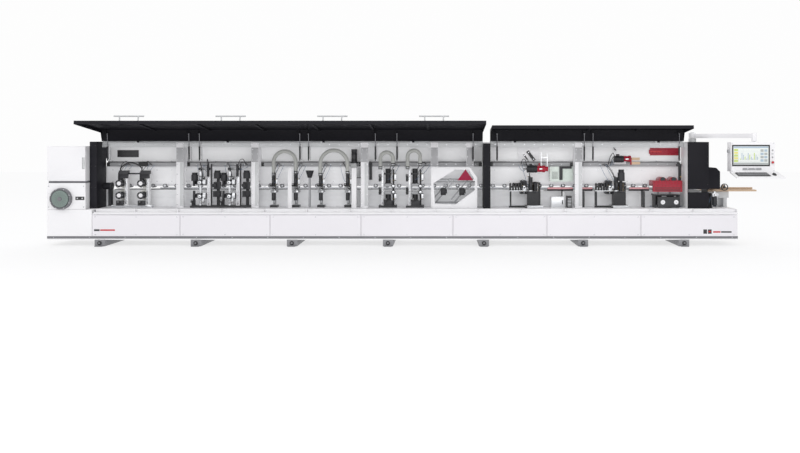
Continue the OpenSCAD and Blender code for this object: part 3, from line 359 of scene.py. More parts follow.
def glue_index(c, n):
    if c.y > 0.148: return 1
    if 2.699 < c.x < 3.096 and 0.0395 < c.y and 1.029 < c.z < 1.283: return 4
    if 3.78 < c.x < 4.0 and c.z > 1.32 and c.y > 0.055: return 1
    if 2.699 < c.x < 2.926 and c.y < 0.0 and c.z < 0.792: return 5
    if c.y < -0.035 and 2.4675 < c.x < 2.652 and 1.18 < c.z < 1.315 and c.y < -0.045: return 3
    if c.y < -0.045 and 3.9105 < c.x < 4.032 and 1.36 < c.z < 1.475 and c.y > -0.1515 and abs(c.y + 0.1) < 0.056: return 3
    if c.x > 4.018 and c.z > 1.31 and c.y < -0.085: return 6
    if 2.534 < c.x < 2.648 and c.z > 1.29 and -0.076 < c.y < -0.059: return 2
    if 2.488 < c.x < 2.568 and 1.238 < c.z and c.y < 0.082 and c.y > 0.015: return 3
    if 0.879 < c.z < 0.893 or 0.6 < c.z < 0.64: return 2
    return 0
refine("glue_unit_frames", None, 0.002, mats=[M["dark"], M["white"], M["alu"], M["red"], M["mint"], M["pale"], M["tan"]], index=glue_index)
refine("end_trim_frame", None, 0.003, mats=[M["white"], M["grey"], M["sign"], M["steel"]],
       index=lambda c, n: 2 if (c.y < -0.1512 or (c.y < -0.1488 and c.x > 1.15 and 1.05 < c.z < 1.25 and 1.16 < c.x < 1.41 and c.y < -0.1512)) else
       (1 if (-0.0205 < c.y < -0.0055) else (3 if c.y > -0.0055 and 0.725 < c.x < 1.44 else 0)))
for nme in ("end_trim_saw_lead", "end_trim_saw_trail"):
    refine(nme, None, 0.0015, mats=[M["dark"], M["steel"]], index=lambda c, n: 1 if abs(n.x) > 0.98 and c.x > (1.25 if c.x > 1.05 else 0.94) else 0)
refine("trimming_units", None, 0.002, mats=[M["dark"], M["white"], M["grey"]],
       index=lambda c, n: 1 if any(x - 0.111 < c.x < x - 0.069 for x in (-0.026, 0.428)) else
       (2 if any((abs(c.x - x) < 0.064 and (0.82 < c.z < 0.87 or 0.949 < c.z < 0.999)) for x in (-0.026, 0.428)) else 0))
refine("rounding_units", None, 0.002, mats=[M["dark"], M["white"], M["alu"]],
       index=lambda c, n: 1 if any(x + 0.069 < c.x < x + 0.131 and c.y > -0.041 for x in (-3.13, -2.64)) else
       (2 if any((x - 0.061 < c.x < x - 0.029) or abs(c.x - x - 0.04) < 0.022 for x in (-3.13, -2.64)) else 0))
refine("scraping_units", None, 0.002, mats=[M["dark"], M["white"], M["grey"], M["pale"]],
       index=lambda c, n: 1 if c.y < -0.0995 and (-1.691 < c.x < -1.621 or -0.629 < c.x < -0.544) else 3 if (-0.661 < c.x < -0.5605 and c.y > 0.059 and c.z < 1.3405) else
       (2 if (0.849 < c.z < 0.889 or 0.919 < c.z < 0.957 or (0.019 < c.y < 0.061 and 0.64 < c.z < 1.19)) else 0))
refine("buffing_unit", None, 0.002, mats=[M["dark"], M["interior"], M["alu"]],
       index=lambda c, n: 1 if any(x + 0.059 < c.x < x + 0.111 and c.z > 0.64 and c.y > -0.0365 for x in (-4.5, -4.14)) else (2 if c.z < 0.6405 else 0))
refine("control_boom", M["white"], 0.004, 3)
refine("console_housing", None, 0.0015, 2, mats=[M["white"], M["grey"]], index=lambda c, n: 1 if c.x < 5.4568 and c.z > 1.4 else 0, join=False)
refine("infeed_fence", M["tan"], 0.001)
for n_, m_ in (("long_strut_cylinders", "dark"), ("short_strut_cylinders", "dark"), ("long_strut_rods", "rod"), ("short_strut_rods", "rod"),
               ("drive_sprocket", "steel"), ("idler_sprocket", "steel"), ("premill_cutter_first", "steelz"), ("premill_cutter_second", "steelz"),
               ("trim_cutter_first", "steelz"), ("trim_cutter_second", "steelz"), ("glue_roller_first", "brass"), ("glue_roller_second", "brass"),
               ("press_roller_first", "rubber"), ("press_roller_second", "rubber"), ("fence_handwheel", "plastic"), ("door_handle", "pale")):
    refine(n_, M[m_], 0.001)

# ---------------------------------------------------------------- feed chain: separate rubber-faced pads
def chain():
    bm = bmesh.new()
    xl, xr, zc, R = -4.65, 5.13, 0.77, 0.118
    straight = xr - xl; arc = math.pi * R; total = 2 * straight + 2 * arc
    n = int(total / 0.0605); step = total / n
    for k in range(n):
        s = (k + 0.5) * step
        if s < straight: x, z, a = xl + s, zc + R, 0
        elif s < straight + arc:
            a = -(s - straight) / R; x, z = xr + R * math.sin(-a), zc + R * math.cos(-a)
        elif s < 2 * straight + arc: x, z, a = xr - (s - straight - arc), zc - R, math.pi
        else:
            b = (s - 2 * straight - arc) / R; a = math.pi - b; x, z = xl - R * math.sin(b), zc - R * math.cos(b)
        m = Matrix.Translation((x, 0.255, z)) @ Matrix.Rotation(-a if False else (a if a in (0, math.pi) else a), 4, "Y") if False else \
            Matrix.Translation((x, 0.255, z)) @ Matrix.Rotation(-a, 4, "Y")
        add_box(bm, -0.028, 0.028, -0.0395, 0.0395, 0.002, 0.0115, 0.002, 0, m, 1)
        add_box(bm, -0.026, 0.026, -0.036, 0.036, -0.004, 0.003, 0.001, 1, m, 1)
        add_box(bm, -0.024, 0.024, -0.034, -0.026, -0.0115, -0.003, 0.001, 1, m, 1)
        add_box(bm, -0.024, 0.024, 0.026, 0.034, -0.0115, -0.003, 0.001, 1, m, 1)
    ob = to_obj("feed_chain_pads", bm, None, "machine", 35, [M["rubber"], M["steel"]])
    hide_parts("feed_chain")
chain()

# ---------------------------------------------------------------- pressure wheels: tyre, hub and screw each
def pressure_wheels():
    bm = bmesh.new()
    for i in range(48):
        x = -4.65 + i * 0.2
        for y, d in ((0.200, "y"), (0.280, "y")):
            m = axis_m((x, y, 0.953), "y")
            lathe(bm, [(0.021, 0.002), (0.0305, 0.0), (0.034, 0.002), (0.035, 0.005), (0.035, 0.025), (0.034, 0.028), (0.0305, 0.030), (0.021, 0.028), (0.021, 0.002)], 30, 0, m)
            lathe(bm, [(0, 0.004), (0.008, 0.004), (0.009, 0.006), (0.018, 0.007), (0.021, 0.003), (0.021, 0.027), (0.018, 0.023), (0.009, 0.024), (0, 0.026)], 24, 1, m)
        add_cyl(bm, (x, 0.196, 0.953), 0.007, 0.116, "y", segs=12, mi=1)
    ob = to_obj("pressure_wheel_rows", bm, None, "pressure_beam", 35, [M["tyre"], M["alu"]])
    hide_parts("pressure_wheels")
pressure_wheels()

# ---------------------------------------------------------------- hood handles
def handles():
    bm = bmesh.new()
    rot = Matrix.Translation((0, -0.075, 1.7)) @ Matrix.Rotation(math.radians(-97), 4, "X")
    for x in (-3.997, -2.412, -0.828, 0.756):
        y0, z = -0.200, -1.094 + 0.110
        pts = [rot @ Vector(p) for p in ((x - 0.145, y0, z), (x - 0.145, y0 - 0.045, z), (x - 0.15, y0 - 0.076, z), (x - 0.175, y0 - 0.088, z), (x - 0.235, y0 - 0.09, z))]
        sweep(bm, catmull(pts, 8), 0.0105, 16)
        pts = [rot @ Vector(p) for p in ((x + 0.145, y0, z), (x + 0.145, y0 - 0.045, z), (x + 0.15, y0 - 0.076, z), (x + 0.175, y0 - 0.088, z), (x + 0.235, y0 - 0.09, z))]
        sweep(bm, catmull(pts, 8), 0.0105, 16)
        sweep(bm, [rot @ Vector((x - 0.235 + 0.47 * k / 20, y0 - 0.088, z)) for k in range(21)], lambda i: 0.0125 - 0.001 * (i in (0, 20)), 18)
        for s in (-1, 1):
            lathe(bm, [(0, 0), (0.022, 0), (0.024, 0.002), (0.022, 0.005), (0.014, 0.007), (0, 0.007)], 22, 0, rot @ axis_m((x + s * 0.145, y0, z), "-y"))
    ob = to_obj("hood_grab_handles", bm, M["pale"], "long_hood", 40)
    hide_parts("hood_handles")
handles()

# ---------------------------------------------------------------- buffing wheels: stitched cotton discs
def buff(node, x, z):
    bm = bmesh.new()
    prof = [(0.012, 0.062)]
    for k in range(9):
        y = 0.064 + k * 0.0065
        prof += [(0.0875, y), (0.0898, y + 0.002), (0.0895, y + 0.0045), (0.086, y + 0.0062)]
    prof += [(0.012, 0.1215)]
    m = axis_m((x, 0, z), "y")
    lathe(bm, prof, 64, 0, m)
    for v in bm.verts:
        c = m.inverted() @ v.co; r = math.hypot(c.x, c.y)
        if r > 0.08:
            a = math.atan2(c.y, c.x); k = 1 + 0.008 * math.sin(a * 17 + c.z * 300) + 0.006 * math.sin(a * 41 + c.z * 900)
            v.co = m @ Vector((c.x * min(k, 0.0899 / r if r > 0 else 1), c.y * min(k, 0.0899 / r if r > 0 else 1), c.z))
    for rr in (0.03, 0.045, 0.06, 0.074):
        for yy in (0.0618, 0.1218):
            lathe(bm, [(rr - 0.0006, yy - 0.0006), (rr, yy - 0.0012), (rr + 0.0006, yy - 0.0006), (rr + 0.0006, yy + 0.0006), (rr - 0.0006, yy + 0.0006), (rr - 0.0006, yy - 0.0006)], 48, 2, m)
    lathe(bm, [(0, 0.1205), (0.032, 0.1205), (0.034, 0.1225), (0.03, 0.1255), (0.014, 0.127), (0.011, 0.132), (0, 0.132)], 32, 1, m)
    lathe(bm, [(0, -0.01), (0.011, -0.01), (0.011, 0.05), (0.032, 0.054), (0.034, 0.058), (0.032, 0.0615), (0, 0.0615)], 32, 1, m)
    ob = to_obj(node + "_cotton", bm, None, node, 40, [M["cotton"], M["steelz"], M["pale"]])
    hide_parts(node)
for n_, x_, z_ in (("buff_wheel_top_in", -4.14, 1.009), ("buff_wheel_top_out", -4.5, 1.009), ("buff_wheel_low_in", -4.14, 0.809), ("buff_wheel_low_out", -4.5, 0.809)):
    buff(n_, x_, z_)

# ---------------------------------------------------------------- corrugated hoses along the arches
def hoses():
    bm = bmesh.new()
    def arch(x0, x1, z0, z1, top, y, r=0.033):
        R = (x1 - x0) / 2; zc = top - r - R; cx = (x0 + x1) / 2
        pts = [(x0, y, z0 + 0.03 * k) for k in range(0, max(2, int((zc - z0) / 0.03) + 1), 3)]
        pts += [(cx - R * math.cos(a), y, zc + R * math.sin(a)) for a in [math.pi * k / 12 for k in range(13)]]
        n = max(2, int((zc - z1) / 0.09))
        pts += [(x1, y, zc - (zc - z1) * (k + 1) / n) for k in range(n)]
        hose(bm, pts, r)
        for x, z in ((x0, z0), (x1, z1)):
            lathe(bm, [(r * 0.9, -0.001), (r * 0.985, 0), (r * 1.0, 0.012), (r * 1.0, 0.045), (r * 0.94, 0.05), (r * 0.9, 0.05)], 28, 1, axis_m((x, y, z), "z"))
            lathe(bm, [(r * 1.0, 0.02), (r * 1.025, 0.021), (r * 1.025, 0.031), (r * 1.0, 0.032)], 28, 2, axis_m((x, y, z), "z"))
    arch(-1.941, -1.571, 1.135, 1.165, 1.576, -0.040)
    arch(-1.151, -0.698, 1.135, 1.165, 1.592, -0.095)
    arch(-0.146, 0.064, 1.245, 1.300, 1.560, -0.110)
    arch(0.308, 0.518, 1.245, 1.300, 1.590, -0.110)
    ob = to_obj("extraction_hoses", bm, None, "machine", 50, [M["hose"], M["plastic"], M["steel"]])
    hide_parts("dust_hoses")
hoses()

# ---------------------------------------------------------------- round port cover
def port():
    bm = bmesh.new()
    m = axis_m((-5.320, -0.425, 0.776), "-y")
    lathe(bm, [(0.0, 0.0), (0.176, 0.0), (0.1765, 0.004), (0.174, 0.05), (0.168, 0.0605), (0.156, 0.062), (0.15, 0.058), (0.148, 0.05), (0.0, 0.05)], 72, 1, m)
    lathe(bm, [(0.0, 0.05), (0.138, 0.05), (0.139, 0.062), (0.134, 0.071), (0.12, 0.0735), (0.05, 0.072), (0.0, 0.072)], 72, 0, m)
    lathe(bm, [(0.0, 0.07), (0.036, 0.07), (0.035, 0.078), (0.03, 0.084), (0.0, 0.084)], 40, 1, m)
    for k in range(18):
        a = 2 * math.pi * k / 18
        add_box(bm, 0.055, 0.118, -0.004, 0.004, 0.070, 0.0765, 0.002, 0, m @ Matrix.Rotation(a, 4, "Z"), 2)
    for k in range(8):
        a = 2 * math.pi * (k + 0.5) / 8
        lathe(bm, [(0, 0), (0.008, 0), (0.008, 0.004), (0.0065, 0.005), (0, 0.003)], 10, 2, m @ Matrix.Translation((0.162 * math.cos(a), 0.162 * math.sin(a), 0.061)))
    ob = to_obj("round_port_cover_detail", bm, None, "machine", 40, [M["port"], M["rail"], M["steelz"]])
    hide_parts("round_port_cover")
port()

# ---------------------------------------------------------------- levelling screws
def levellers():
    bm = bmesh.new()
    for fx in (-4.694, -3.129, -1.564, 0, 1.565, 3.179, 4.825):
        for s in (-1, 1):
            m = axis_m((fx, s * 0.440, 0.056), "-y" if s < 0 else "y")
            lathe(bm, [(0, 0), (0.0335, 0), (0.034, 0.002), (0.034, 0.012), (0.031, 0.014), (0, 0.014)], 40, 0, m)
            for k in range(16):
                a = 2 * math.pi * k / 16
                add_box(bm, 0.0325, 0.034, -0.003, 0.003, 0.002, 0.012, 0.0006, 0, m @ Matrix.Rotation(a, 4, "Z"), 1)
            lathe(bm, [(0, 0.014), (0.017, 0.014), (0.0185, 0.016), (0.0185, 0.023), (0.017, 0.026), (0, 0.026)], 6, 1, m)
    ob = to_obj("levelling_adjusters", bm, None, "machine", 35, [M["plastic"], M["rail"]])
    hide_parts("levelling_screws")
levellers()

# ---------------------------------------------------------------- console: screen picture, keyboard, mouse, buttons
def glow(name, color, strength=1.0):
    m = new_mat(name, color, 0, 0.3, 0.03, 0.0, 40)
    b = m.node_tree.nodes["Principled BSDF"]
    b.inputs["Emission Color"].default_value = (*color, 1); b.inputs["Emission Strength"].default_value = strength
    return m
G = [glow("display_pale", (0.58, 0.62, 0.60), 0.2), glow("display_green", (0.42, 0.52, 0.10), 0.22), glow("display_grey", (0.36, 0.38, 0.38), 0.15),
     glow("display_white", (0.66, 0.69, 0.67), 0.2), glow("display_blue", (0.34, 0.42, 0.50), 0.15), glow("display_amber", (0.62, 0.55, 0.14), 0.2)]
def screen():
    bm = bmesh.new()
    y = -0.8245
    add_box(bm, 5.466, 6.064, y, -0.821, 1.318, 1.656, 0.001, 0)
    # bezel ring
    for a in ((5.466, 6.064, 1.318, 1.342), (5.466, 6.064, 1.634, 1.656), (5.466, 5.488, 1.34, 1.636), (6.042, 6.064, 1.34, 1.636)):
        add_box(bm, a[0], a[1], y - 0.0004, y + 0.001, a[2], a[3], 0.0006, 6)
    def r(x0, x1, z0, z1, mi, d=0.0006): add_box(bm, x0, x1, y - d, y + 0.0005, z0, z1, 0.0002, mi, None, 1)
    r(5.492, 6.038, 1.606, 1.630, 4); r(5.492, 6.038, 1.346, 1.372, 2)
    for k in range(5): r(5.498, 5.560, 1.385 + k * 0.043, 1.385 + k * 0.043 + 0.032, 1 if k % 2 == 0 else 5)
    for k in range(5): r(5.504, 5.554, 1.397 + k * 0.043, 1.399 + k * 0.043, 3, 0.0009)
    r(5.575, 5.900, 1.385, 1.595, 3)
    for k in range(9): r(5.585, 5.890, 1.395 + k * 0.022, 1.3965 + k * 0.022, 2, 0.0009)
    for k in range(12): r(5.592 + k * 0.0245, 5.604 + k * 0.0245, 1.42, 1.44 + 0.03 * ((k * 7) % 4), 4 if k % 3 else 1, 0.0011)
    r(5.906, 6.036, 1.376, 1.602, 3, 0.0004)
    for k in range(4):
        for j in range(2): r(5.915 + j * 0.06, 5.965 + j * 0.06, 1.39 + k * 0.052, 1.43 + k * 0.052, 2 if (k + j) % 2 else 4, 0.0009)
    ob = to_obj("screen_display", bm, None, "console", 30, G + [M["plastic"]])
    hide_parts("console_screen")
screen()
def keyboard():
    bm = bmesh.new()
    m = Matrix.Translation((5.433, -0.815, 1.235)) @ Matrix.Rotation(math.radians(14), 4, "X") @ Matrix.Translation((0, -0.33, 0))
    add_box(bm, 0.045, 0.545, 0.06, 0.23, 0, 0.011, 0.004, 0, m, 3)
    for row in range(5):
        n = 20 - (row == 0) * 3
        x = 0.052
        w = 0.486 / n
        for k in range(n):
            if row == 0 and 4 <= k <= 8:
                if k == 4: add_box(bm, x + 0.0012, x + 5 * w - 0.0012, 0.068, 0.096, 0.010, 0.0185, 0.002, 1, m, 2)
            else:
                add_box(bm, x + 0.0012, x + w - 0.0012, 0.068 + row * 0.0315, 0.0965 + row * 0.0315, 0.010, 0.0185, 0.002, 1, m, 2)
            x += w
    # mouse: a smooth shell with its wheel
    tmp = bmesh.new(); bmesh.ops.create_uvsphere(tmp, u_segments=28, v_segments=16, radius=1)
    for v in tmp.verts:
        c = v.co.copy(); v.co = Vector((0.632 + c.x * 0.030 * (1 - 0.12 * c.y), 0.145 + c.y * 0.054, 0.0 + max(c.z, 0) * 0.029))
    merge(bm, tmp, 0, m)
    add_box(bm, 0.6295, 0.6345, 0.165, 0.185, 0.020, 0.0285, 0.002, 1, m, 2)
    ob = to_obj("keys_and_mouse", bm, None, "console", 35, [M["plastic"], M["rail"]])
    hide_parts("keyboard_and_mouse")
keyboard()
def estop():
    bm = bmesh.new()
    m = axis_m((6.105, -0.803, 1.380), "-y")
    lathe(bm, [(0, 0), (0.015, 0), (0.015, 0.026), (0.0195, 0.030), (0.020, 0.034), (0.0195, 0.0405), (0.016, 0.0437), (0, 0.0443)], 40, 0, m)
    ob = to_obj("stop_button_head", bm, M["redplastic"], "emergency_stop", 40)
    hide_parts("emergency_stop")
    bm = bmesh.new()
    lathe(bm, [(0.0208, 0), (0.027, 0), (0.027, 0.003), (0.0245, 0.005), (0.0208, 0.005), (0.0208, 0)], 40, 0, axis_m((6.105, -0.825, 1.380), "-y"))
    for k, mi in ((0, 1), (1, 2), (2, 1)):
        lathe(bm, [(0, 0), (0.014, 0), (0.014, 0.003), (0.011, 0.008), (0, 0.009)], 28, mi, axis_m((6.105, -0.825, 1.46 + k * 0.055), "-y"))
    # slot cover strip with its two ports, vents on the rear, corner screws
    add_box(bm, 5.63, 5.93, -0.8282, -0.8265, 1.256, 1.292, 0.001, 3)
    for k in range(2): add_box(bm, 5.70 + k * 0.12, 5.73 + k * 0.12, -0.8295, -0.828, 1.266, 1.282, 0.0008, 2)
    for k in range(14): add_box(bm, 5.60 + k * 0.028, 5.608 + k * 0.028, -0.6352, -0.6335, 1.32, 1.60, 0.001, 1)
    for x in (5.475, 6.126):
        for z in (1.245, 1.684): add_bolt(bm, (x, -0.825, z), "-y", 0.005, 2)
    ob = to_obj("console_controls", bm, None, "console", 40, [M["alu"], M["guide"], M["steelz"], M["grey"]])
estop()

# ---------------------------------------------------------------- fasteners
def fasteners():
    bm = bmesh.new()
    seams = [-4.824, -3.390, -1.923, -0.440, 1.060, 2.592, 4.124, 5.689]
    for a, b in zip(seams, seams[1:]):
        for x in (a + 0.05, b - 0.05, (a + b) / 2):
            for z in (0.19, 0.48): add_bolt(bm, (x, -0.425, z), "-y", 0.006)
    for px in (-3.502, -2.247, -0.415, 3.165):
        for z in [0.65 + 0.17 * k for k in range(7)]:
            for s in (-1, 1): add_bolt(bm, (px + s * 0.045, -0.075, z), "-y", 0.006)
    for px in (0.756, 1.350):
        for z in (1.32, 1.45, 1.58):
            for s in (-1, 1): add_bolt(bm, (px + s * 0.045, -0.075, z), "-y", 0.006)
    for k in range(60):
        x = -4.75 + k * 0.163
        if not 1.55 < x < 1.70:
            add_bolt(bm, (x, -0.069, 1.655), "-y", 0.006)
            add_bolt(bm, (x, 0.120, 1.317), "-y", 0.005)
    for k in range(39): add_bolt(bm, (-4.72 + k * 0.25, 0.170, 1.375), "-y", 0.005); add_bolt(bm, (-4.72 + k * 0.25, 0.470, 1.375), "y", 0.005); add_bolt(bm, (-4.72 + k * 0.25, 0.470, 1.67), "y", 0.005)
    wb = bmesh.new()
    for x in (-4.867, 1.6235):
        for z in (0.64, 0.95, 1.3, 1.64):
            for s in (-1, 1): add_bolt(wb, (x + s * 0.035, -0.275, z), "-y", 0.005)
    for z in (0.66, 1.0, 1.35, 1.66):
        for x in (4.95, 5.26): add_bolt(wb, (x, -0.275, z), "-y", 0.005)
    wo = to_obj("wall_screws", wb, M["plastic"], "machine", 40)
    for x in (-5.53, -4.96):
        for z in (0.64, 0.98): add_bolt(bm, (x, -0.425, z), "-y", 0.006)
    for fx in (-4.694, -3.129, -1.564, 0, 1.565, 3.179, 4.825):
        for s in (-1, 1):
            for y in (-0.2, 0.2): pass
    for k in range(46): add_bolt(bm, (-5.45 + k * 0.2462, 0.425, 0.565), "y", 0.006); add_bolt(bm, (-5.45 + k * 0.2462, 0.425, 0.19), "y", 0.006)
    ob = to_obj("cover_screws", bm, M["steelz"], "machine", 40)
    bm = bmesh.new()
    for k in range(39): add_bolt(bm, (-4.72 + k * 0.25, 0.175, 1.03), "-y", 0.005); add_bolt(bm, (-4.72 + k * 0.25, 0.175, 1.222), "-y", 0.005); add_bolt(bm, (-4.72 + k * 0.25, 0.335, 1.03), "y", 0.005)
    ob = to_obj("beam_screws", bm, M["steelz"], "pressure_beam", 40)
fasteners()
def post_strips():
    bm = bmesh.new()
    for px in (-3.502, -2.247, -0.415, 3.165):
        add_box(bm, px - 0.058, px + 0.058, -0.0768, -0.0752, 1.362, 1.606, 0.0006, 0)
        add_box(bm, px + 0.002, px + 0.058, -0.0764, -0.0752, 0.63, 1.358, 0.0005, 1)
        for z in (1.40, 1.57):
            for q in (-1, 1): add_bolt(bm, (px + q * 0.040, -0.0768, z), "-y", 0.005, 2)
    for px in (0.756, 1.350):
        add_box(bm, px - 0.058, px + 0.058, -0.0768, -0.0752, 1.295, 1.606, 0.0006, 0)
    ob = to_obj("post_cover_strips", bm, None, "machine", 35, [M["guide"], M["pale"], M["steelz"]])
post_strips()

# ---------------------------------------------------------------- dark kick strip along the lower edge of the front
def kick_strip():
    bm = bmesh.new()
    add_box(bm, -5.556, 5.703, -0.4268, -0.4246, 0.126, 0.1655, 0.0006, 0)
    for i in range(20):
        add_bolt(bm, (-5.45 + i * 0.582, -0.4268, 0.146), "-y", 0.005, 1)
    ob = to_obj("front_kick_strip", bm, None, "machine", 35, [M["rail"], M["steelz"]])
kick_strip()

# ---------------------------------------------------------------- air tubes and cables, held by the units
def lines():
    bt, ct = bmesh.new(), bmesh.new()
    def drop(bm, a, b, sag, r, lean=0.0):
        A, B = Vector(a), Vector(b)
        mid = (A + B) / 2 + Vector((lean, -0.03, sag))
        sweep(bm, catmull([A, A.lerp(mid, 0.5) + Vector((0, -0.012, sag * 0.35)), mid, B.lerp(mid, 0.5) + Vector((0, -0.012, sag * 0.35)), B], 7), r, 8)
    # motors' terminal boxes to the guide rail
    cab = [(-1.941, -0.08, 1.06, -1.86), (-1.571, -0.08, 1.08, -1.48), (-1.151, -0.08, 1.06, -1.06), (-0.698, -0.08, 1.08, -0.80),
           (-0.026, -0.01, 1.12, 0.10), (0.428, -0.01, 1.12, 0.62), (2.36, -0.13, 1.0, 2.28), (3.79, -0.13, 1.0, 3.60), (2.297, -0.10, 1.305, 2.22), (3.76, -0.10, 1.465, 3.70),
           (-4.50, -0.10, 1.19, -4.42), (-4.14, -0.10, 1.19, -4.05),
           (-3.11, -0.12, 1.10, -3.22), (-2.62, -0.12, 1.10, -2.76), (-3.02, -0.08, 1.30, -3.10), (-2.53, -0.08, 1.30, -2.44), (0.904, -0.10, 0.96, 0.99), (1.214, -0.10, 0.96, 1.30)]
    for x, y, z, x2 in cab:
        if x in (0.904, 1.214): continue
        drop(ct, (x, y, z), (x2, 0.116, 1.318), 0.10, 0.0055)
        drop(ct, (x + 0.012, y, z - 0.02), (x2 + 0.03, 0.116, 1.305), 0.06, 0.004)
        drop(bt, (x + 0.02, y + 0.02, z - 0.05), (x2 + 0.06, 0.116, 1.310), -0.03, 0.003)
        drop(bt, (x - 0.02, y + 0.02, z - 0.06), (x2 - 0.04, 0.116, 1.312), -0.06, 0.003)
    # looms along the rail
    for k, (z, y) in enumerate(((1.358, 0.142), (1.3535, 0.155), (1.3545, 0.130))):
        for x0, x1 in ((-4.79, 1.55), (1.70, 4.91)):
            n = int((x1 - x0) / 0.2)
            sweep(ct, [Vector((x0 + (x1 - x0) * i / n, y + 0.003 * math.sin(i * 1.7 + k), z + 0.0025 * math.sin(i * 2.3 + k * 2) + 0.002)) for i in range(n + 1)], 0.005, 8)
    # arched cable between the buffing motors
    sweep(ct, catmull([(-4.5, -0.06, 1.205), (-4.49, -0.065, 1.27), (-4.40, -0.07, 1.335), (-4.32, -0.07, 1.35), (-4.23, -0.07, 1.33), (-4.15, -0.065, 1.27), (-4.14, -0.06, 1.205)], 9), 0.011, 12)
    # air lines from the service unit
    sweep(bt, catmull([(5.355, -0.2, 0.822), (5.335, -0.2, 0.80), (5.322, -0.18, 0.72), (5.315, -0.12, 0.66), (5.30, -0.02, 0.625), (5.20, 0.05, 0.615), (4.9, 0.08, 0.612), (4.4, 0.10, 0.612)], 8), 0.006, 10)
    a = to_obj("motor_cables", ct, M["black_tube"], "machine", 60)
    b = to_obj("air_tubes", bt, M["blue_tube"], "machine", 60)
lines()

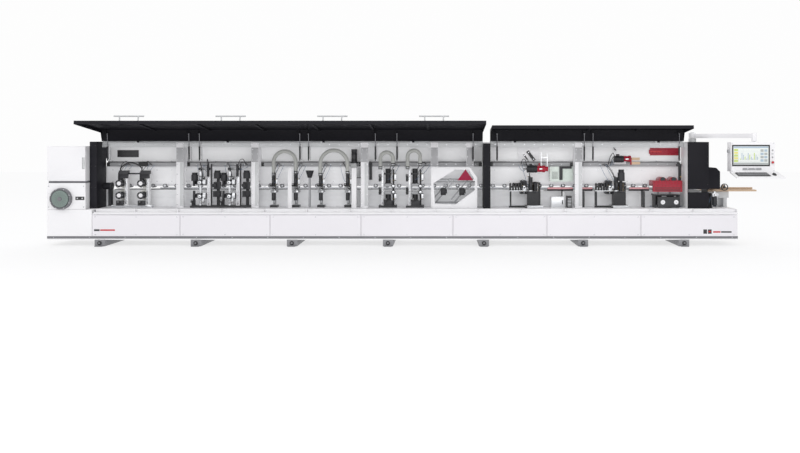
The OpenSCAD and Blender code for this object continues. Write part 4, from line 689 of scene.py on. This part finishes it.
# ---------------------------------------------------------------- unit fittings
def fittings():
    bm = bmesh.new()   # 0 alu 1 black plastic 2 steel 3 brass 4 red 5 white 6 pink 7 glass
    mats = [M["alu"], M["plastic"], M["steelz"], M["brass"], M["redplastic"], M["white"], M["pink"], M["glass_dark"], M["red"]]
    def counter(x, y, z):
        add_box(bm, x - 0.019, x + 0.019, y - 0.030, y, z - 0.024, z + 0.024, 0.004, 1, None, 3)
        add_box(bm, x - 0.014, x + 0.014, y - 0.0315, y - 0.029, z + 0.002, z + 0.017, 0.001, 7)
        for k in range(4): add_box(bm, x - 0.012 + k * 0.0065, x - 0.0085 + k * 0.0065, y - 0.0322, y - 0.031, z + 0.005, z + 0.014, 0.0004, 5, None, 1)
        lathe(bm, [(0, 0), (0.006, 0), (0.006, 0.02), (0.013, 0.022), (0.013, 0.036), (0.011, 0.038), (0, 0.038)], 20, 1, axis_m((x, y - 0.030, z - 0.012), "-y"))
    def rail(x, y, z0, z1, w=0.012):
        add_box(bm, x - w, x + w, y - 0.012, y, z0, z1, 0.002, 2)
        n = max(2, int((z1 - z0) / 0.06))
        for k in range(n): add_cyl(bm, (x, y - 0.0115, z0 + 0.02 + (z1 - z0 - 0.04) * k / (n - 1)), 0.004, 0.0008, "-y", 0.0002, 10, 1)
    def cyl_unit(x, y, z, h=0.09, r=0.016):
        add_box(bm, x - r, x + r, y - r, y + r, z, z + h, 0.003, 0)
        add_box(bm, x - r * 1.1, x + r * 1.1, y - r * 1.1, y + r * 1.1, z, z + 0.012, 0.002, 1)
        add_box(bm, x - r * 1.1, x + r * 1.1, y - r * 1.1, y + r * 1.1, z + h - 0.012, z + h, 0.002, 1)
        add_cyl(bm, (x, y, z - 0.035), 0.005, 0.036, "z", 0.0008, 14, 2)
        for k in (0.006, h - 0.006): add_cyl(bm, (x - r, y, z + k), 0.004, 0.012, "-x", 0.0008, 10, 3)
    for x in (-0.026, 0.428):
        counter(x - 0.132, -0.090, 0.93); counter(x - 0.132, -0.090, 1.14); counter(x - 0.03, -0.112, 0.74)
        rail(x - 0.09, -0.060, 0.66, 1.27); cyl_unit(x + 0.125, -0.05, 1.05, 0.12); cyl_unit(x + 0.125, -0.05, 0.74, 0.1)
        for z in (0.96, 0.86):
            lathe(bm, [(0, 0), (0.020, 0), (0.021, 0.003), (0.010, 0.005), (0, 0.005)], 24, 2, axis_m((x + 0.092, -0.070, z), "-y"))
        for z in (0.86, 1.075):
            lathe(bm, [(0.006, 0), (0.017, 0), (0.019, 0.004), (0.017, 0.018), (0.006, 0.02)], 24, 1, axis_m((x - 0.132, -0.118, z), "-y"))
    for x in (-3.13, -2.64):
        rail(x + 0.10, -0.040, 0.65, 1.31); rail(x - 0.045, -0.030, 0.66, 1.2, 0.008)
        counter(x - 0.150, -0.118, 0.715); counter(x + 0.042, -0.112, 1.10); cyl_unit(x + 0.02, -0.09, 0.69, 0.1); cyl_unit(x - 0.02, -0.09, 1.12, 0.1)
        for z in (1.024, 0.794):
            lathe(bm, [(0.008, 0), (0.030, 0), (0.032, 0.004), (0.030, 0.008), (0.008, 0.010)], 28, 2, axis_m((x - 0.02, -0.160, z), "-y"))
            for k in range(6): add_box(bm, x - 0.062, x - 0.0595, -0.145 + k * 0.013, -0.138 + k * 0.013, z - 0.03, z + 0.03, 0.001, 0, None, 1)
    for x in (-1.941, -1.571, -1.151, -0.698):
        counter(x + 0.03, -0.096, 0.935); counter(x - 0.034, -0.096, 0.985); rail(x, 0.020, 0.66, 1.17, 0.010); cyl_unit(x + 0.055, -0.05, 0.985, 0.1, 0.013)
        lathe(bm, [(0.005, 0), (0.016, 0), (0.018, 0.003), (0.016, 0.006), (0.005, 0.007)], 22, 2, axis_m((x + 0.034, -0.096, 0.870), "-y"))
    for x in (-4.5, -4.14):
        rail(x + 0.085, -0.036, 0.66, 1.22); counter(x - 0.02, -0.090, 0.69)
        for z in (1.009, 0.809):
            for k in range(5):
                lathe(bm, [(0.0555, 0), (0.0595, 0.0006), (0.0595, 0.0034), (0.0555, 0.004)], 32, 1, axis_m((x, -0.10 + k * 0.012, z), "y"))
            lathe(bm, [(0.0, 0), (0.031, 0), (0.034, 0.003), (0.033, 0.009), (0.014, 0.011), (0.012, 0.016), (0.0, 0.017)], 40, 5, axis_m((x, -0.128, z), "-y"))
            for k in range(6):
                a = k * math.pi / 3; add_bolt(bm, (x + 0.053 * math.cos(a), -0.128, z + 0.053 * math.sin(a)), "-y", 0.003, 2)
    for x in (2.42, 3.85):
        counter(x - 0.17, -0.090, 0.95); counter(x + 0.094, -0.060, 0.96); counter(x - 0.14, -0.120, 0.625)
        cyl_unit(x - 0.17, -0.11, 0.87, 0.11, 0.018); cyl_unit(x - 0.08, -0.045, 1.024, 0.1)
        # finned heater band and lid grip of the pot
        for k in range(9): add_box(bm, x - 0.112, x + 0.072, -0.1525, -0.149, 0.66 + k * 0.021, 0.668 + k * 0.021, 0.001, 1, None, 1)
        sweep(bm, catmull([(x - 0.05, -0.158, 0.871), (x - 0.05, -0.18, 0.871), (x - 0.02, -0.187, 0.871), (x + 0.01, -0.18, 0.871), (x + 0.01, -0.158, 0.871)], 6), 0.005, 10, 1)
        # tape rollers' rubber sleeves and the tape guide strip
        for i in range(6):
            add_cyl(bm, (x - 0.40 + i * 0.046, -0.110, 0.905), 0.0178, 0.10, "z", 0.002, 24, 1)
        add_box(bm, x - 0.42, x - 0.13, -0.094, -0.091, 0.895, 0.938, 0.001, 2)
        lathe(bm, [(0, 0), (0.045, 0), (0.048, 0.006), (0.045, 0.012), (0.012, 0.014), (0.012, 0.03), (0, 0.031)], 32, 2, axis_m((x - 0.172, 0.068, 1.044), "z"))
    # rose guide channels on their brackets
    for a, b in ((2.665, 3.09), (3.19, 3.42), (4.045, 4.375)):
        add_box(bm, a, b, 0.054, 0.0595, 0.904, 0.930, 0.001, 6); add_box(bm, a, b, 0.054, 0.070, 0.926, 0.932, 0.001, 6)
    # slanted bars on the white board behind the gluing unit
    for bx_, bz_, bl, bw, ang in ((2.265, 1.375, 0.14, 0.010, -38), (2.365, 1.385, 0.20, 0.024, -38), (3.755, 1.545, 0.075, 0.009, -38)):
        m = Matrix.Translation((bx_ + 0.09, 0.148 if bx_ < 3 else 0.158, bz_)) @ Matrix.Rotation(math.radians(ang), 4, "Y")
        add_box(bm, -bw, bw, -0.012, 0.004, 0.0, bl, 0.002, 1, m)
        for k in (0.14, 0.86): add_cyl(bm, m @ Vector((0, -0.012, bl * k)), min(0.009, bw * 0.8), 0.006, "-y", 0.001, 16, 2)
    lathe(bm, [(0, 0), (0.02, 0), (0.022, 0.004), (0.018, 0.02), (0, 0.021)], 24, 1, axis_m((3.90, 0.06, 1.44), "-y"))
    # tape motors: connectors, screws and the split clamp of the couplings
    for x, z, x2 in ((2.34, 1.25, 2.52), (3.79, 1.413, 3.955)):
        add_box(bm, x, x + 0.05, -0.125, -0.075, z + 0.058, z + 0.085, 0.004, 1, None, 3)
        for k in range(6):
            a = k * math.pi / 3 + 0.3
            add_bolt(bm, (x2 + 0.045, -0.10 + 0.036 * math.cos(a), z + 0.036 * math.sin(a)), "x", 0.0035, 2)
        add_box(bm, x2 - 0.02, x2 + 0.03, -0.158, -0.148, z - 0.012, z + 0.012, 0.002, 2)
    for k in range(5): add_bolt(bm, (2.541, -0.075, 1.32 + 0.045 * k), "-y", 0.0035, 2)
    # mint cover: screws and vent slots
    for x in (2.715, 3.08):
        for z in (1.045, 1.15, 1.268): add_bolt(bm, (x, 0.040, z), "-y", 0.0045, 2)
    for k in range(7): add_box(bm, 2.735, 2.835, 0.0385, 0.0402, 1.08 + k * 0.018, 1.086 + k * 0.018, 0.0006, 1, None, 1)
    # cabinet doors under the tape guide
    add_box(bm, 2.712, 2.913, -0.1135, -0.110, 0.615, 0.778, 0.003, 0)
    add_box(bm, 2.885, 2.900, -0.122, -0.113, 0.66, 0.73, 0.003, 1)
    for k in range(6): add_box(bm, 2.975, 3.035, -0.1320, -0.130, 0.63 + k * 0.024, 0.638 + k * 0.024, 0.001, 0, None, 1)
    # jointing unit: dark sight caps, round ports, screws
    for x in (4.56, 4.74):
        lathe(bm, [(0, 0), (0.040, 0), (0.043, 0.002), (0.040, 0.006), (0, 0.006)], 36, 7, axis_m((x, -0.140, 1.072), "-y"))
    for x in (4.545, 4.765):
        lathe(bm, [(0, 0), (0.034, 0), (0.038, 0.003), (0.034, 0.007), (0, 0.007)], 30, 5, axis_m((x, -0.190, 0.70), "-y"))
        lathe(bm, [(0, 0.006), (0.012, 0.006), (0.010, 0.011), (0, 0.011)], 20, 2, axis_m((x, -0.190, 0.70), "-y"))
    for x in [4.41 + 0.065 * k for k in range(8)]:
        for z in (0.985, 1.035): add_bolt(bm, (x, -0.150, z), "-y", 0.004, 1)
    for k in range(3): add_box(bm, 4.42, 4.85, -0.1515, -0.1495, 0.885 + k * 0.024, 0.893 + k * 0.024, 0.001, 1, None, 1)
    lathe(bm, [(0, 0), (0.010, 0), (0.010, 0.03), (0.006, 0.034), (0, 0.034)], 20, 3, axis_m((4.864, -0.088, 1.12), "-y"))
    # rail end brackets and the dark block on the first bay's rail
    for px in (-3.502, -2.247, -0.415, 3.165):
        for s_ in (-1, 1): add_box(bm, px + s_ * 0.088 - 0.024, px + s_ * 0.088 + 0.024, 0.112, 0.121, 1.287, 1.347, 0.003, 1)
    for x in (-4.775, 1.535, 1.715, 4.895): add_box(bm, x - 0.028, x + 0.028, 0.112, 0.121, 1.287, 1.347, 0.003, 1)
    add_box(bm, -4.255, -4.105, 0.085, 0.121, 1.289, 1.352, 0.004, 1, None, 3)
    # generic plates: plain bars, no lettering
    add_box(bm, -4.79, -4.70, -0.4265, -0.425, 0.248, 0.278, 0.0006, 1); add_box(bm, -4.69, -4.45, -0.4265, -0.425, 0.252, 0.276, 0.0006, 4)
    add_box(bm, 5.14, 5.20, -0.4265, -0.425, 0.205, 0.275, 0.0006, 1); add_box(bm, 5.215, 5.275, -0.4265, -0.425, 0.205, 0.275, 0.0006, 1); add_box(bm, 5.225, 5.265, -0.4272, -0.4263, 0.23, 0.25, 0.0004, 4); add_box(bm, 5.30, 5.42, -0.4265, -0.425, 0.222, 0.246, 0.0006, 4); add_box(bm, 5.43, 5.60, -0.4265, -0.425, 0.222, 0.246, 0.0006, 1)
    add_box(bm, 4.40, 4.885, 0.1575, 0.160, 1.498, 1.568, 0.001, 8); add_box(bm, 4.43, 4.62, 0.156, 0.158, 1.524, 1.542, 0.001, 4)
    add_box(bm, -4.63, -4.29, 0.1565, 0.1605, 1.448, 1.552, 0.001, 1); add_box(bm, -4.60, -4.32, 0.155, 0.1570, 1.494, 1.506, 0.001, 1)
    # latch plate's twin quarter turns
    for x in (-5.06, -4.98): lathe(bm, [(0, 0), (0.012, 0), (0.012, 0.003), (0, 0.004)], 20, 2, axis_m((x, -0.430, 0.782), "-y"))
    add_box(bm, -5.092, -4.946, -0.4315, -0.4295, 0.754, 0.810, 0.002, 1)
    # service unit gauge
    lathe(bm, [(0, 0), (0.02, 0), (0.022, 0.003), (0.022, 0.014), (0.020, 0.016), (0, 0.0155)], 32, 1, axis_m((5.399, -0.235, 0.823), "-y"))
    lathe(bm, [(0, 0.0156), (0.018, 0.0156), (0.0178, 0.0166), (0, 0.0168)], 32, 5, axis_m((5.399, -0.235, 0.823), "-y"))
    ob = to_obj("unit_fittings", bm, None, "machine", 35, mats)
fittings()

# ---------------------------------------------------------------- stage and light
bm = bmesh.new()
pts = [(-60, -40), (60, -40)]
v = [bm.verts.new(p) for p in ((-60, -40, -0.0005), (60, -40, -0.0005), (60, 30, -0.0005), (-60, 30, -0.0005))]
bm.faces.new(v)
me = bpy.data.meshes.new("floor"); bm.to_mesh(me); bm.free()
floor = bpy.data.objects.new("floor", me); scn.collection.objects.link(floor)
fm = new_mat("pale_floor", (0.30, 0.30, 0.305), 0, 0.85, 0.01, 0.0, 20, rvar=0.03, large=0.2, spec=0.0)
fb = fm.node_tree.nodes["Principled BSDF"]; fb.inputs["Emission Color"].default_value = (1, 1, 1, 1); fb.inputs["Emission Strength"].default_value = 0.67
me.materials.append(fm)
w = bpy.data.worlds.new("studio"); scn.world = w; w.use_nodes = True
w.node_tree.nodes["Background"].inputs["Color"].default_value = (1, 1, 1, 1)
w.node_tree.nodes["Background"].inputs["Strength"].default_value = 0.985
def area(name, loc, target, size, power, sy=None):
    d = bpy.data.lights.new(name, "AREA"); d.energy = power; d.size = size; d.shape = "RECTANGLE"; d.size_y = sy or size
    o = bpy.data.objects.new(name, d); scn.collection.objects.link(o); o.location = loc
    o.rotation_euler = (Vector(target) - Vector(loc)).to_track_quat("-Z", "Y").to_euler()
area("key", (-4, -9, 7), (-1, 0, 1), 9, 170, 5)
area("fill", (6, -10, 4), (2, 0, 1), 8, 110, 4)
area("front_low", (0, -11, 1.6), (0, 0, 1.2), 12, 130, 2)
area("back", (0, 9, 7), (0, 0, 1), 10, 120, 4)
scn.view_settings.view_transform = "Standard"
